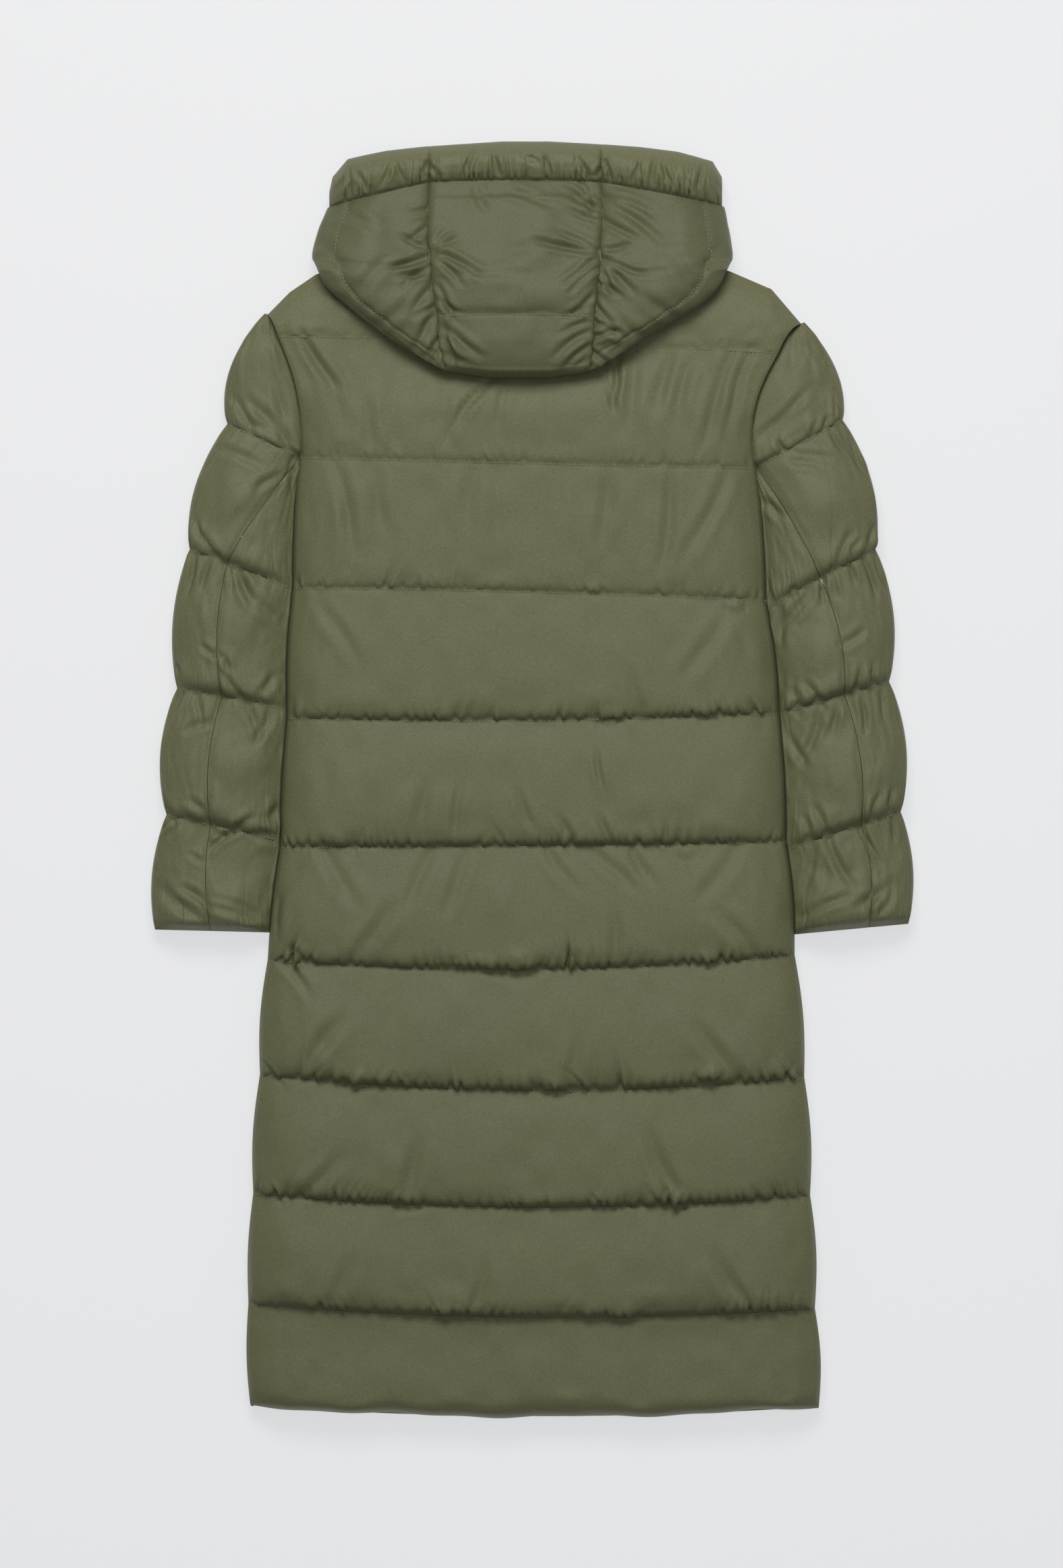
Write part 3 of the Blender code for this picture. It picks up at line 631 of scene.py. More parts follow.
def shell_material(depth):
    """Fine plain-weave polyester: two thread directions, slubs, and a faint uneven dye; a depth below 1
    darkens the whole colour as painted shade.
    """
    settings = bpy.context.scene.coat
    mat, tree = new_material("coat_shell" if depth == 1.0 else "coat_shell_hood_painted_shade")
    if tree is None:
        return mat
    link = tree.links.new
    shader = tree.nodes["Principled BSDF"]
    shader.inputs["Sheen Weight"].default_value = 0.06
    shader.inputs["Sheen Roughness"].default_value = 0.45
    shader.inputs["Sheen Tint"].default_value = (0.75, 0.78, 0.62, 1.0)
    shader.inputs["Specular IOR Level"].default_value = 0.3
    scale = WAVE_SCALE / settings.weave_pitch
    thread = {"Scale": scale, "Distortion": 1.4, "Detail": 1.0, "Detail Scale": 1.5}
    warp = texture(tree, "TexWave", thread, bands_direction="X")
    weft = texture(tree, "TexWave", thread, bands_direction="Y")
    weave = maths(tree, "MULTIPLY", warp, weft)
    slub = texture(tree, "TexNoise", {"Scale": 560.0, "Detail": 2.0})
    dye = texture(tree, "TexNoise", {"Scale": 7.0, "Detail": 5.0, "Roughness": 0.6})
    rumple = texture(tree, "TexNoise", {"Scale": 45.0, "Detail": 3.0})
    # painted shade: a depth below 1 darkens the whole colour of the piece, as on the hood's panels
    colour = tones(tree, dye, [c * depth for c in settings.cloth], 0.93, 1.06)
    colour = shaded(tree, colour, slub, 0.4, 1.6, 0.5)
    colour = shaded(tree, colour, weave, 0.85, 1.3, 0.3)
    link(colour, shader.inputs["Base Color"])
    link(spread(tree, dye, 0.5, 0.63), shader.inputs["Roughness"])
    soft = bump(tree, rumple, 0.25, 0.0012)
    fine = bump(tree, maths(tree, "ADD", weave, slub), 0.3, 0.00018)
    link(soft.outputs["Normal"], fine.inputs["Normal"])
    link(fine.outputs["Normal"], shader.inputs["Normal"])
    return mat


def thread_material():
    """Twisted thread, a little lighter than the cloth."""
    mat, tree = new_material("coat_thread")
    if tree is None:
        return mat
    shader = tree.nodes["Principled BSDF"]
    shader.inputs["Roughness"].default_value = 0.5
    twist = texture(tree, "TexWave", {"Scale": 700.0}, bands_direction="DIAGONAL")
    colour = tones(tree, twist, bpy.context.scene.coat.thread, 0.8, 1.15)
    tree.links.new(colour, shader.inputs["Base Color"])
    return mat


def zip_material(name, roughness, scale):
    """Moulded teeth or woven tape, by the scale of its grain."""
    mat, tree = new_material(name)
    if tree is None:
        return mat
    shader = tree.nodes["Principled BSDF"]
    shader.inputs["Roughness"].default_value = roughness
    grain = texture(tree, "TexNoise", {"Scale": scale})
    colour = tones(tree, grain, bpy.context.scene.coat.zip_colour, 0.75, 1.3)
    tree.links.new(colour, shader.inputs["Base Color"])
    tree.links.new(bump(tree, grain, 0.4, 0.0002).outputs["Normal"], shader.inputs["Normal"])
    return mat


# ---------------------------------------------------------------- body forms
def side_point(side, channel, t):
    """A point (x, y) on the body's left (-1) or right (+1) side."""
    upper = LINES[channel]
    lower = LINES[channel + 1]
    if side < 0:
        x = lerp(upper.left_x, lower.left_x, t) - upper.swell_l * math.sin(math.pi * t)
        return x, lerp(upper.left_y, lower.left_y, t)
    x = lerp(upper.right_x, lower.right_x, t) + upper.swell_r * math.sin(math.pi * t)
    return x, lerp(upper.right_y, lower.right_y, t)


def line_y(line, share):
    bow = line.mid_y - (line.left_y + line.right_y) / 2
    return lerp(line.left_y, line.right_y, share) + bow * 4 * share * (1 - share)


def body_xy(channel, t, share, top):
    left = side_point(-1, channel, t)
    right = side_point(1, channel, t)
    x = lerp(left[0], right[0], share)
    upper = along(top, x) if channel == 0 else line_y(LINES[channel], share)
    return x, lerp(upper, line_y(LINES[channel + 1], share), t)


def side_outline(side):
    """The body's side as two arrays, heights (rising) and x."""
    spots = [(channel, k / 20) for channel in range(len(LINES) - 1) for k in range(20)]
    share = 0.0 if side < 0 else 1.0
    points = [body_xy(channel, t, share, BACK_TOP) for channel, t in [*spots, (len(LINES) - 2, 1.0)]]
    points = np.array(points)[::-1]
    return points[:, 1], points[:, 0]


OUTLINES = {side: side_outline(side) for side in (-1, 1)}


def side_x(side, y):
    """The body's side at a given height, or at an array of heights."""
    heights, places = OUTLINES[side]
    return np.interp(y, heights, places)


def openness(channel, t):
    """0 beside the armholes, where the side is sewn to a sleeve, and 1 where it is free."""
    if channel < UNDERARM - 1:
        return 0.0
    if channel > UNDERARM - 1:
        return 1.0
    return max(0.0, (t - 0.5) / 0.5)


def body_stations():
    stations = [(channel, t) for channel in range(len(LINES) - 1) for t in STEPS]
    return stations + [(len(LINES) - 2, 1.0)]


def back_point(channel, t, share):
    x, y = body_xy(channel, t, share, BACK_TOP)
    left = side_point(-1, channel, t)[0]
    right = side_point(1, channel, t)[0]
    distance = min(x - left, right - x)
    valley = lerp(LINES[channel].valley, LINES[channel + 1].valley, t)
    top = valley + (LINES[channel].crest - valley) * plump(t, fold_share(channel, share))
    under_hood = math.exp(-(x / 170.0) ** 4) * min(1.0, max(0.0, (y - 385.0) / 55.0))
    top -= HOOD_WEIGHT * under_hood
    side = lerp(top - 5.0, min(18.0, top), openness(channel, t))
    return x, y, side + (top - side) * quarter(distance / 62.0)


def column_shares(count):
    """Shares across the back, closer together at its sides."""
    u = np.linspace(0.0, 1.0, count + 1)
    return 0.62 * u + 0.38 * (1 - np.cos(np.pi * u)) / 2


def back_grid():
    """Outer face of the back, with its turned edges as the first and last rows and columns."""
    shares = column_shares(BACK_COLUMNS)
    rows = []
    for channel, t in body_stations():
        row = [back_point(channel, t, share) for share in shares]
        ends = []
        for x, y, z in (row[0], row[-1]):
            low = lerp(ARMHOLE_Z, SIDE_SEAM_Z + 0.5, openness(channel, t))
            ends.append((x, y, min(low, z - 1.0)))
        rows.append([ends[0], *row, ends[1]])
    rows.insert(0, [(x, y, min(z, TURN_Z if abs(x) > NECK_HALF else 14.0)) for x, y, z in rows[0]])
    rows.append([(x, y, TURN_Z) for x, y, z in rows[-1]])
    return np.array(rows)


def pleat_depth(grid, rng):
    """Short uneven pleats that stand on each quilting line, in millimetres."""
    depth = np.zeros(grid.shape[:2])
    x = grid[:, :, 0]
    y = grid[:, :, 1]
    for pleats in PLEATS:
        line = LINES[pleats.line]
        share = np.clip((x - line.left_x) / (line.right_x - line.left_x), 0, 1)
        bow = line.mid_y - (line.left_y + line.right_y) / 2
        level = lerp(line.left_y, line.right_y, share) + bow * 4 * share * (1 - share)
        above = y - level
        band = (above > -22) & (above < 60)
        if not band.any():
            continue
        cluster = rng.uniform(0.0, 2 * math.pi, 3)
        width = line.right_x - line.left_x
        gaps = rng.lognormal(0.0, 0.55, 3 * pleats.count)
        marks = line.left_x + width * np.cumsum(gaps) / gaps.sum()
        lean = 0.45 * np.sin(x * 0.021 + cluster[1]) + 0.3 * np.sin(x * 0.057 + cluster[2])
        phase = np.interp(x - lean * above, marks[::2], np.arange(len(marks[::2])))
        ripple = np.abs(np.sin(math.pi * phase)) ** 0.6 - 0.62
        swell = 0.6 + 0.4 * np.sin(x * 0.043 + cluster[0]) + 0.3 * np.sin(x * 0.017 + cluster[2])
        reach = pleats.reach * np.clip(swell, 0.15, 1.3) * 0.9
        fade = np.where(above > 0, np.clip(1 - above / reach, 0, 1) ** 1.2 * np.clip(above / 2.5, 0, 1), 0)
        fade += np.where(above < 0, 0.3 * np.clip(1 + 2.2 * above / reach, 0, 1) * np.clip(-above, 0, 1), 0)
        depth -= np.where(band, 2.0 * pleats.depth * fade * ripple, 0.0)
        for k in range(pleats.count):
            spot = line.left_x + width * (k + rng.uniform(0.1, 0.9)) / pleats.count
            beat = 0.65 + 0.35 * math.sin(spot * 0.031 + cluster[0]) * math.sin(spot * 0.013 + cluster[1])
            reach = pleats.reach * beat * rng.lognormal(0.0, 0.45)
            half = rng.uniform(1.6, 3.0)
            lean = rng.normal(0.0, 0.42)
            deep = 1.5 * pleats.depth * beat * rng.lognormal(0.0, 0.5)
            curl = rng.normal(0.0, 0.012)
            off = x - spot - lean * above - curl * above * above
            up = np.clip(above / reach, 0, 1)
            fade = np.where(above > 0, (1 - up) ** 1.6 * np.clip(above / 2.0, 0, 1), 0.0)
            hollow = np.exp(-(np.abs(off) / half) ** 1.4)
            hollow -= 0.7 * np.exp(-((off - 2.1 * half) / half) ** 2)
            depth += np.where(band & (np.abs(off) < 6 * half), deep * fade * hollow, 0.0)
            if k % 4 == 1:
                down = np.clip(-above / (0.6 * reach), 0, 1)
                fade = np.where(above < 0, (1 - down) ** 2 * np.clip(-above / 2.0, 0, 1), 0.0)
                depth += np.where(band & (np.abs(off) < 6 * half), 0.6 * deep * fade * hollow, 0.0)
    return depth


def tuck_height(grid):
    """Tucks caught in the quilting lines, with a fold round each."""
    lift = np.zeros(grid.shape[:2])
    for tuck in TUCKS:
        line = LINES[tuck.line]
        share = (tuck.x - line.left_x) / (line.right_x - line.left_x)
        y = line_y(line, share) + tuck.above
        lean = 0.35 * math.sin(tuck.x)
        dx = grid[:, :, 0] - tuck.x - lean * (grid[:, :, 1] - y)
        dy = (grid[:, :, 1] - y) * 1.5
        ring = np.sqrt(dx * dx + dy * dy) / tuck.radius
        swirl = 1.0 + 0.25 * np.cos(3 * np.arctan2(dy, dx) + tuck.x)
        lift += 0.7 * tuck.height * np.exp(-(ring / 0.75) ** 2) * swirl
        fold = np.exp(-((ring - 1.2) / 0.25) ** 2) * np.clip(0.5 - dy / tuck.radius, 0, 1)
        lift -= 0.55 * tuck.height * fold
    return lift


def make_back():
    grid = back_grid()
    rows, columns = grid.shape[:2]
    per = len(STEPS)
    quilts = [1 + per * k for k in range(len(LINES))]
    free = np.ones((rows, columns))
    free[quilts] = 0
    free[0] = free[-1] = 0
    free[:, :2] = free[:, -2:] = 0
    grid = settle(grid, free, cap=9.0, seed=11, calm=1)
    fine = refine(grid, 2, 3, row_breaks=[1, *quilts, rows - 2], column_breaks=[1, columns - 2])
    rng = np.random.default_rng(5)
    seams = [2 * quilt for quilt in quilts[1:-1]]
    lift = -pleat_depth(fine, rng) - troughs(fine, BACK_CREASES) + tuck_height(fine)
    lift += 0.5 * soft_noise(lift.shape, (60, 30), rng)
    fine = raise_cloth(fine, lift, False, 0.15, Margin(6, 6, 6, 6), seams)[0]
    for side, pick in ((-1, slice(0, 60)), (1, slice(-60, None))):
        limit = side_x(side, fine[:, pick, 1])
        x = fine[:, pick, 0]
        fine[:, pick, 0] = np.maximum(x, limit) if side < 0 else np.minimum(x, limit)
    wave = np.sin(fine[-14:, :, 0] * 0.035) + 0.6 * np.sin(fine[-14:, :, 0] * 0.082 + 1.0)
    fine[-14:, :, 1] += 1.4 * wave * np.linspace(0, 1, 14)[:, None]
    wall = np.full(fine.shape[:2], 9.0)
    for quilt in quilts:
        wall[2 * quilt - 1:2 * quilt + 2] = 3.0
    wall[:9] = wall[-9:] = 3.0
    wall[:, :9] = wall[:, -9:] = 3.0
    piece = closed_mesh("quilted_back", fine, wall)
    finish_piece(piece, "back_panel")
    runs = []
    for seam in seams:
        row = fine[seam, 3:-3]
        runs.append((row + [0, -0.7, 0.1], np.tile([0.0, -0.25, 1.0], (len(row), 1))))
    stitch_mesh("back_stitches", runs)


def make_front(side):
    """A front lies face down: flat where it rests, drawn up a little along its stitches."""
    rng = np.random.default_rng(31 + side)
    count = 44
    rows = []
    for channel, t in body_stations():
        edge = side_point(side, channel, t)
        free = openness(channel, t)
        around = lerp(2.0, 10.0, free)
        seam_z = lerp(5.0, SIDE_SEAM_Z - 0.4, free)
        if channel == 0 and t < 0.35:
            seam_z = 3.0
        if channel == len(LINES) - 2 and t > 0.95:
            around = 3.0
            seam_z = 3.0
        share = 0.0 if side < 0 else 1.0
        y = body_xy(channel, t, share, FRONT_TOP)[1]
        row = [(edge[0], y, seam_z), (edge[0], y, lerp(min(around, seam_z), seam_z, 0.5))]
        for step in range(5):
            a = math.pi / 2 * step / 4
            reach = around * (1 - math.cos(a))
            row.append((edge[0] - side * reach, y, min(around, seam_z) * (1 - math.sin(a))))
        centre = side * (ZIP_HALF - SEAM_LAP)
        dip = 3.0 * (1 - plump(t)) ** 2 if 0.0 < t < 1.0 or 0 < channel else 0.0
        for k in range(1, count + 1):
            x = lerp(edge[0] - side * around, centre, k / count)
            left = side_point(-1, channel, t)[0]
            right = side_point(1, channel, t)[0]
            z = dip * min(1.0, k / 3, (count - k) / 3)
            row.append((x, body_xy(channel, t, (x - left) / (right - left), FRONT_TOP)[1], z))
        rows.append(row)
    grid = np.array(rows)
    fine = refine(grid, 2, 2, row_breaks=[len(STEPS) * k for k in range(len(LINES))])
    pleats = pleat_depth(fine, rng)
    inside = np.clip((np.arange(fine.shape[1]) - 14) / 6, 0, 1)[None, :]
    low = np.clip(0.8 * np.abs(pleats), 0, 3.0) * inside
    fine[:, :, 2] = np.maximum(fine[:, :, 2], 0.0) + low
    wall = np.full(fine.shape[:2], 8.0)
    for k in range(len(LINES)):
        spot = 2 * len(STEPS) * k
        wall[max(0, spot - 2):spot + 3] = 2.0
    wall[:, :14] = 2.5
    word = "left" if side < 0 else "right"
    piece = closed_mesh("quilted_front_" + word, fine, wall, flip=side < 0)
    finish_piece(piece, "front_panel_" + word)
    runs = []
    for k in range(1, len(LINES) - 1):
        row = fine[2 * len(STEPS) * k, 16:-2]
        runs.append((row + [0, 0, -0.2], np.tile([0.0, 0.0, -1.0], (len(row), 1))))
    return runs


# -------------------------------------------------------------- sleeve forms
CAP_TUCK = 2.5            # how far the sleeve's cap goes in under the edge of the back
CAP_INNER = ((0, 0.0), (1, 0.0), (1, 0.15), (1, 0.5), (1, 0.85), (2, 0.0))


def sleeve_ends(table, side, segment, t):
    """Outer and inner end (x, y) of one row of a sleeve."""
    upper = table[segment]
    lower = table[segment + 1]
    swell = side * upper.swell * math.sin(math.pi * t) ** 0.8
    outer = (lerp(upper.outer_x, lower.outer_x, t) + swell, lerp(upper.outer_y, lower.outer_y, t))
    if segment == 0:
        spot = min(t * 5, 4.999)
        a = side_point(side, *CAP_INNER[int(spot)])
        b = side_point(side, *CAP_INNER[int(spot) + 1])
        f = spot - int(spot)
        y = lerp(a[1], b[1], f)
        return outer, (side_x(side, y) - side * CAP_TUCK, y)
    y = lerp(upper.inner_y, lower.inner_y, t)
    gap = lerp(-CAP_TUCK, 0.0, min(1.0, segment - 1 + t * 4))
    return outer, (side_x(side, y) + side * gap, y)


def sleeve_height(table, segment, t, share, width):
    """Height on top of a sleeve at a share of its width from the outer edge."""
    upper = table[segment]
    valley = lerp(upper.valley, table[segment + 1].valley, t)
    crest = valley + (upper.crest - valley) * plump(t)
    edge = min(SLEEVE_EDGE_Z, crest - 4)
    reach = min(SLEEVE_REACH, width * 0.5)
    rise = quarter(share * width / reach)
    fall = quarter((1 - share) * width / reach)
    z = edge + (crest - edge) * rise
    if segment == 0:
        return lerp(max(edge, min(28.0, crest - 4)), z, fall) if width > 12 else crest - 4
    return edge + (z - edge) * fall


def sleeve_row(table, side, segment, t, part):
    """One row of a sleeve's outer or under piece, from seam to seam."""
    outer, inner = sleeve_ends(table, side, segment, t)
    width = abs(inner[0] - outer[0])
    around = min(SLEEVE_ROUND, 0.2 * width)
    edge = min(SLEEVE_EDGE_Z, sleeve_height(table, segment, t, 0.0, width))
    turn = around / width
    back = lerp(table[segment].back_seam, table[segment + 1].back_seam, t)
    front = FRONT_SEAM
    if segment == 0:
        back = front = 1.0
    elif segment == 1:
        front = min(lerp(0.93, FRONT_SEAM, min(1.0, 1.6 * t)), 1 - 1.3 * turn)
        back = lerp(0.985, table[2].back_seam, t ** 0.9)
    dip = 3.5 if segment else 1.5

    def at(share, z):
        return (lerp(outer[0], inner[0], share), lerp(outer[1], inner[1], share), z)

    def top(share):
        z = sleeve_height(table, segment, t, share, width)
        return at(share, z - dip * math.exp(-(((share - back) * width) / 5.0) ** 2))

    points = []
    if part == "outer":
        points += [at(lerp(front, turn, k / 8), 0.0) for k in range(8)]
        points += [at(turn * (1 - math.sin(math.pi / 2 * k / 5)),
                      around * (1 - math.cos(math.pi / 2 * k / 5))) for k in range(6)]
        points += [top(back * (k / 30) ** 1.35) for k in range(1, 31)]
        return points
    gap = 0.5 / width
    start = min(back + gap, 0.99)
    points += [top(lerp(1.0, start, (1 - k / 24) ** 1.35)) for k in range(24)]
    points += [at(1 - turn * (1 - math.sin(math.pi / 2 * k / 5)),
                  around * (1 - math.cos(math.pi / 2 * k / 5))) for k in range(5, -1, -1)]
    points += [at(lerp(1 - turn, front + gap, k / 6), 0.0) for k in range(1, 7)]
    return points


LEFT_FOLDS = creases(
    (-248, 340, 75, 132, 5, 3.2), (-291, 360, 44, 112, 4, 2.6), (-266, 355, 30, 146, 4, 2.2),
    (-249, 344, 80, 107, 5, 2.0), (-280, 327, 51, 163, 4, 2.4), (-250, 333, 39, -82, 4, 3.0),
    (-262, 318, 30, -140, 4, 2.4), (-343, 240, 33, 102, 3, 2.2), (-321, 223, 40, 118, 4, 2.6),
    (-335, 234, 30, 110, 3, 2.0), (-351, 237, 55, -96, 3, 2.2), (-329, 229, 34, -115, 3, 2.2),
    (-314, 218, 25, -78, 3, 3.0), (-307, 215, 46, -62, 4, 3.0), (-304, 218, 80, -52, 5, 2.6),
    (-320, 128, 26, 155, 3, 2.6), (-318, 126, 16, -60, 3, 3.0), (-302, 86, 34, 119, 4, 3.0),
    (-280, 88, 30, 58, 4, 2.6), (-367, 97, 33, 97, 3, 2.2), (-357, 92, 30, 110, 3, 2.0),
    (-362, 93, 30, -104, 3, 2.0), (-346, 88, 36, -84, 3, 2.0), (-295, 78, 44, -70, 4, 2.4),
    (-270, 70, 40, -120, 4, 2.4), (-330, 60, 34, 200, 4, 1.8), (-368, -44, 28, 120, 3, 2.2),
    (-375, -40, 17, 121, 3, 2.2), (-375, -40, 21, -124, 3, 2.2), (-369, -46, 16, -117, 3, 2.0),
    (-335, -38, 30, 135, 4, 2.6), (-333, -72, 38, 33, 3, 3.2), (-309, -50, 30, 22, 4, 3.0),
    (-315, -58, 17, 160, 3, 2.2), (-272, -40, 20, 45, 5, 3.0), (-282, -57, 20, -12, 5, 3.0),
    (-338, -84, 20, 157, 3, 1.6), (-336, -128, 37, 150, 4, 2.6), (-339, -144, 55, 139, 5, 2.6),
    (-358, -140, 47, 130, 5, 2.2), (-333, -130, 61, -22, 4, 2.8), (-333, -121, 63, -23, 4, 2.4),
)
RIGHT_FOLDS = creases(
    (235, 353, 78, 48, 4, 2.8), (240, 347, 60, 42, 5, 2.2), (253, 350, 16, -45, 3, 3.2),
    (269, 333, 32, -14, 4, 2.6), (269, 342, 44, -16, 3, 2.2), (302, 361, 19, 66, 3, 2.2),
    (291, 357, 17, 77, 3, 1.8), (312, 366, 40, 84, 2.5, 2.0), (318, 368, 34, 84, 2.5, 2.0),
    (312, 361, 41, -60, 3, 2.4), (317, 368, 59, -59, 3, 2.2), (323, 371, 68, -64, 3, 2.0),
    (240, 288, 26, -38, 4, 3.0), (313, 223, 41, 57, 4, 2.4), (327, 228, 30, 55, 3, 2.2),
    (343, 235, 33, 73, 3, 2.2), (353, 239, 36, 83, 2.5, 2.0), (304, 214, 35, -92, 3, 3.0),
    (312, 218, 32, -83, 3, 2.2), (327, 226, 26, -73, 3, 2.2), (340, 231, 53, -67, 3, 2.4),
    (355, 239, 50, -70, 3, 2.0), (267, 188, 14, 60, 4, 3.0), (252, 180, 30, 110, 4, 2.6),
    (285, 195, 60, -118, 5, 2.6), (262, 182, 50, -98, 4, 2.4), (318, 140, 34, 28, 4, 2.2),
    (330, 84, 38, 72, 3, 2.4), (350, 92, 34, 80, 3, 2.2), (300, 74, 36, 118, 4, 2.8),
    (274, 66, 32, 96, 4, 2.4), (360, 92, 34, -76, 3, 2.2), (340, 84, 40, -80, 3, 2.4),
    (296, 68, 60, -108, 4, 2.6), (316, 76, 30, -96, 3, 2.2), (268, 50, 44, -66, 4, 2.2),
    (370, -36, 30, 78, 3, 2.2), (352, -42, 34, 70, 3, 2.2), (310, -58, 40, 124, 4, 2.8),
    (286, -64, 30, 100, 4, 2.6), (372, -40, 26, -76, 3, 2.2), (344, -50, 44, -68, 3, 2.4),
    (304, -62, 60, -56, 4, 2.8), (290, -70, 50, -98, 4, 2.4), (336, -132, 52, 38, 5, 2.6),
    (330, -120, 58, 205, 4, 2.4), (356, -140, 40, 52, 4, 2.2),
)

# Columns at the sleeve's outer or inner edge that keep its outline
SLEEVE_HELD = {"outer": slice(13, 14), "under": slice(23, 25)}
SLEEVE_GATHERS = 26       # how many small gathers stand along each cross seam of a sleeve


def gathers(grid, rows_between, rng, depth, skip):
    """Troughs that start at a seam row and run down or up the sleeve, uneven in length."""
    lift = np.zeros(grid.shape[:2])
    rows, columns = lift.shape
    i = np.arange(rows)[:, None]
    j = np.arange(columns)[None, :]
    for seam in rows_between:
        for k in range(SLEEVE_GATHERS):
            spot = skip + (columns - skip) * (k + rng.uniform(0, 1)) / SLEEVE_GATHERS
            above = rng.uniform() < 0.68
            reach = rng.lognormal(0.0, 0.5) * (11 if above else 8)
            strong = 0.3 + 1.1 * math.exp(-abs(spot - skip) / 14.0) if skip else 0.45
            lean = rng.normal(0.0, 0.45)
            half = rng.uniform(0.9, 1.7)
            run = (seam - i) if above else (i - seam)
            off = j - spot - lean * run
            up = np.clip(run / reach, 0, 1)
            fade = np.where(run > 0, (1 - up) ** 1.4 * np.clip(run / 1.5, 0, 1), 0)
            hollow = np.exp(-(off / half) ** 2) - 0.7 * np.exp(-((off - 2.1 * half) / half) ** 2)
            lift -= strong * depth * rng.lognormal(0.0, 0.35) * fade * hollow
    return lift


def make_sleeve(table, side):
    word = "left" if side < 0 else "right"
    runs = []
    for part in ("outer", "under"):
        first = 0 if part == "outer" else 1
        stations = [(s, k / SLEEVE_ROWS) for s in range(first, len(table) - 1) for k in range(SLEEVE_ROWS)]
        stations.append((len(table) - 2, 1.0))
        grid = np.array([sleeve_row(table, side, s, t, part) for s, t in stations])
        rows, columns = grid.shape[:2]
        seams = [SLEEVE_ROWS * k for k in range(rows // SLEEVE_ROWS + 1)]
        flip = side > 0
        free = np.ones((rows, columns))
        free[seams] = 0
        free[:, 0] = free[:, -1] = 0
        free[grid[:, :, 2] < 0.5] = 0
        free[:3] = 0
        free[:, SLEEVE_HELD[part]] = 0
        grid = settle(grid, free, cap=4.0, seed=40 + side + first, calm=3, flip=flip, surplus=1.2)
        fine = refine(grid, 3, 3, row_breaks=seams)
        rng = np.random.default_rng(60 + side + 3 * first)
        marks = [3 * s for s in seams[1:]]
        lift = gathers(fine, marks, rng, 1.4, 38 if part == "outer" else 0)
        lift -= troughs(fine, LEFT_FOLDS if side < 0 else RIGHT_FOLDS)
        lift += 0.45 * soft_noise(lift.shape, (40, 14), rng)
        fine, out = raise_cloth(fine, lift, flip, 0.05, Margin(3, 3, 2, 2), marks)
        fine[:, :, 2] = np.maximum(fine[:, :, 2], 0.0)
        limit = side_x(side, fine[:, :, 1])
        limit = limit + np.where(fine[:, :, 1] > table[1].inner_y - 30.0, -side * CAP_TUCK, 0.0)
        fine[:, :, 0] = np.minimum(fine[:, :, 0], limit) if side < 0 else np.maximum(fine[:, :, 0], limit)
        wall = np.full(fine.shape[:2], 5.0)
        wall[:, :8] = wall[:, -8:] = 2.0
        wall[:24] = 1.0
        wall[-6:] = 2.0
        for mark in marks:
            wall[mark - 2:mark + 3] = 2.0
        node = "sleeve_" + word + "_" + part
        piece = closed_mesh(node + "_cloth", fine, wall, flip=flip, stride=3)
        finish_piece(piece, node)
        for mark in marks[:-1]:
            row = fine[mark]
            keep = (row[:, 2] > 12.0) & (out[mark][:, 2] > 0.6)
            if keep.sum() > 4:
                runs.append((row[keep] + [0, -0.5, 0.1], out[mark][keep]))
    return runs


# ---------------------------------------------------------------- hood forms
def hood_station(spot):
    """The hood's table at a fractional row: the plan is smooth, the low layer linear."""
    low = min(int(spot), len(HOOD) - 2)
    f = spot - low
    a = HOOD[low]
    b = HOOD[low + 1]
    before = HOOD[max(0, low - 1)]
    after = HOOD[min(len(HOOD) - 1, low + 2)]
    values = []
    for name, p0, p1, p2, p3 in zip(Hood._fields, before, a, b, after):
        if name in ("edge_z", "low_z") or low in (0, 3):
            values.append(lerp(p1, p2, f))
        else:
            m1 = (p2 - p0) / 2
            m2 = (p3 - p1) / 2
            values.append(p1 * (2 * f ** 3 - 3 * f * f + 1) + m1 * (f ** 3 - 2 * f * f + f)
                          + p2 * (3 * f * f - 2 * f ** 3) + m2 * (f ** 3 - f * f))
    return Hood(*values)


HOOD_PAINTED_SHADE = 0.82          # painted shade: the hood's panels take the shell colour darkened by this factor, standing in for less light on the hood
TOP_COUNT = 30
FOLD_COUNT = 6
LEG_COUNT = 12
TOPSTITCH_IN = 24.0       # distance of the hood's topstitching from its outer edge


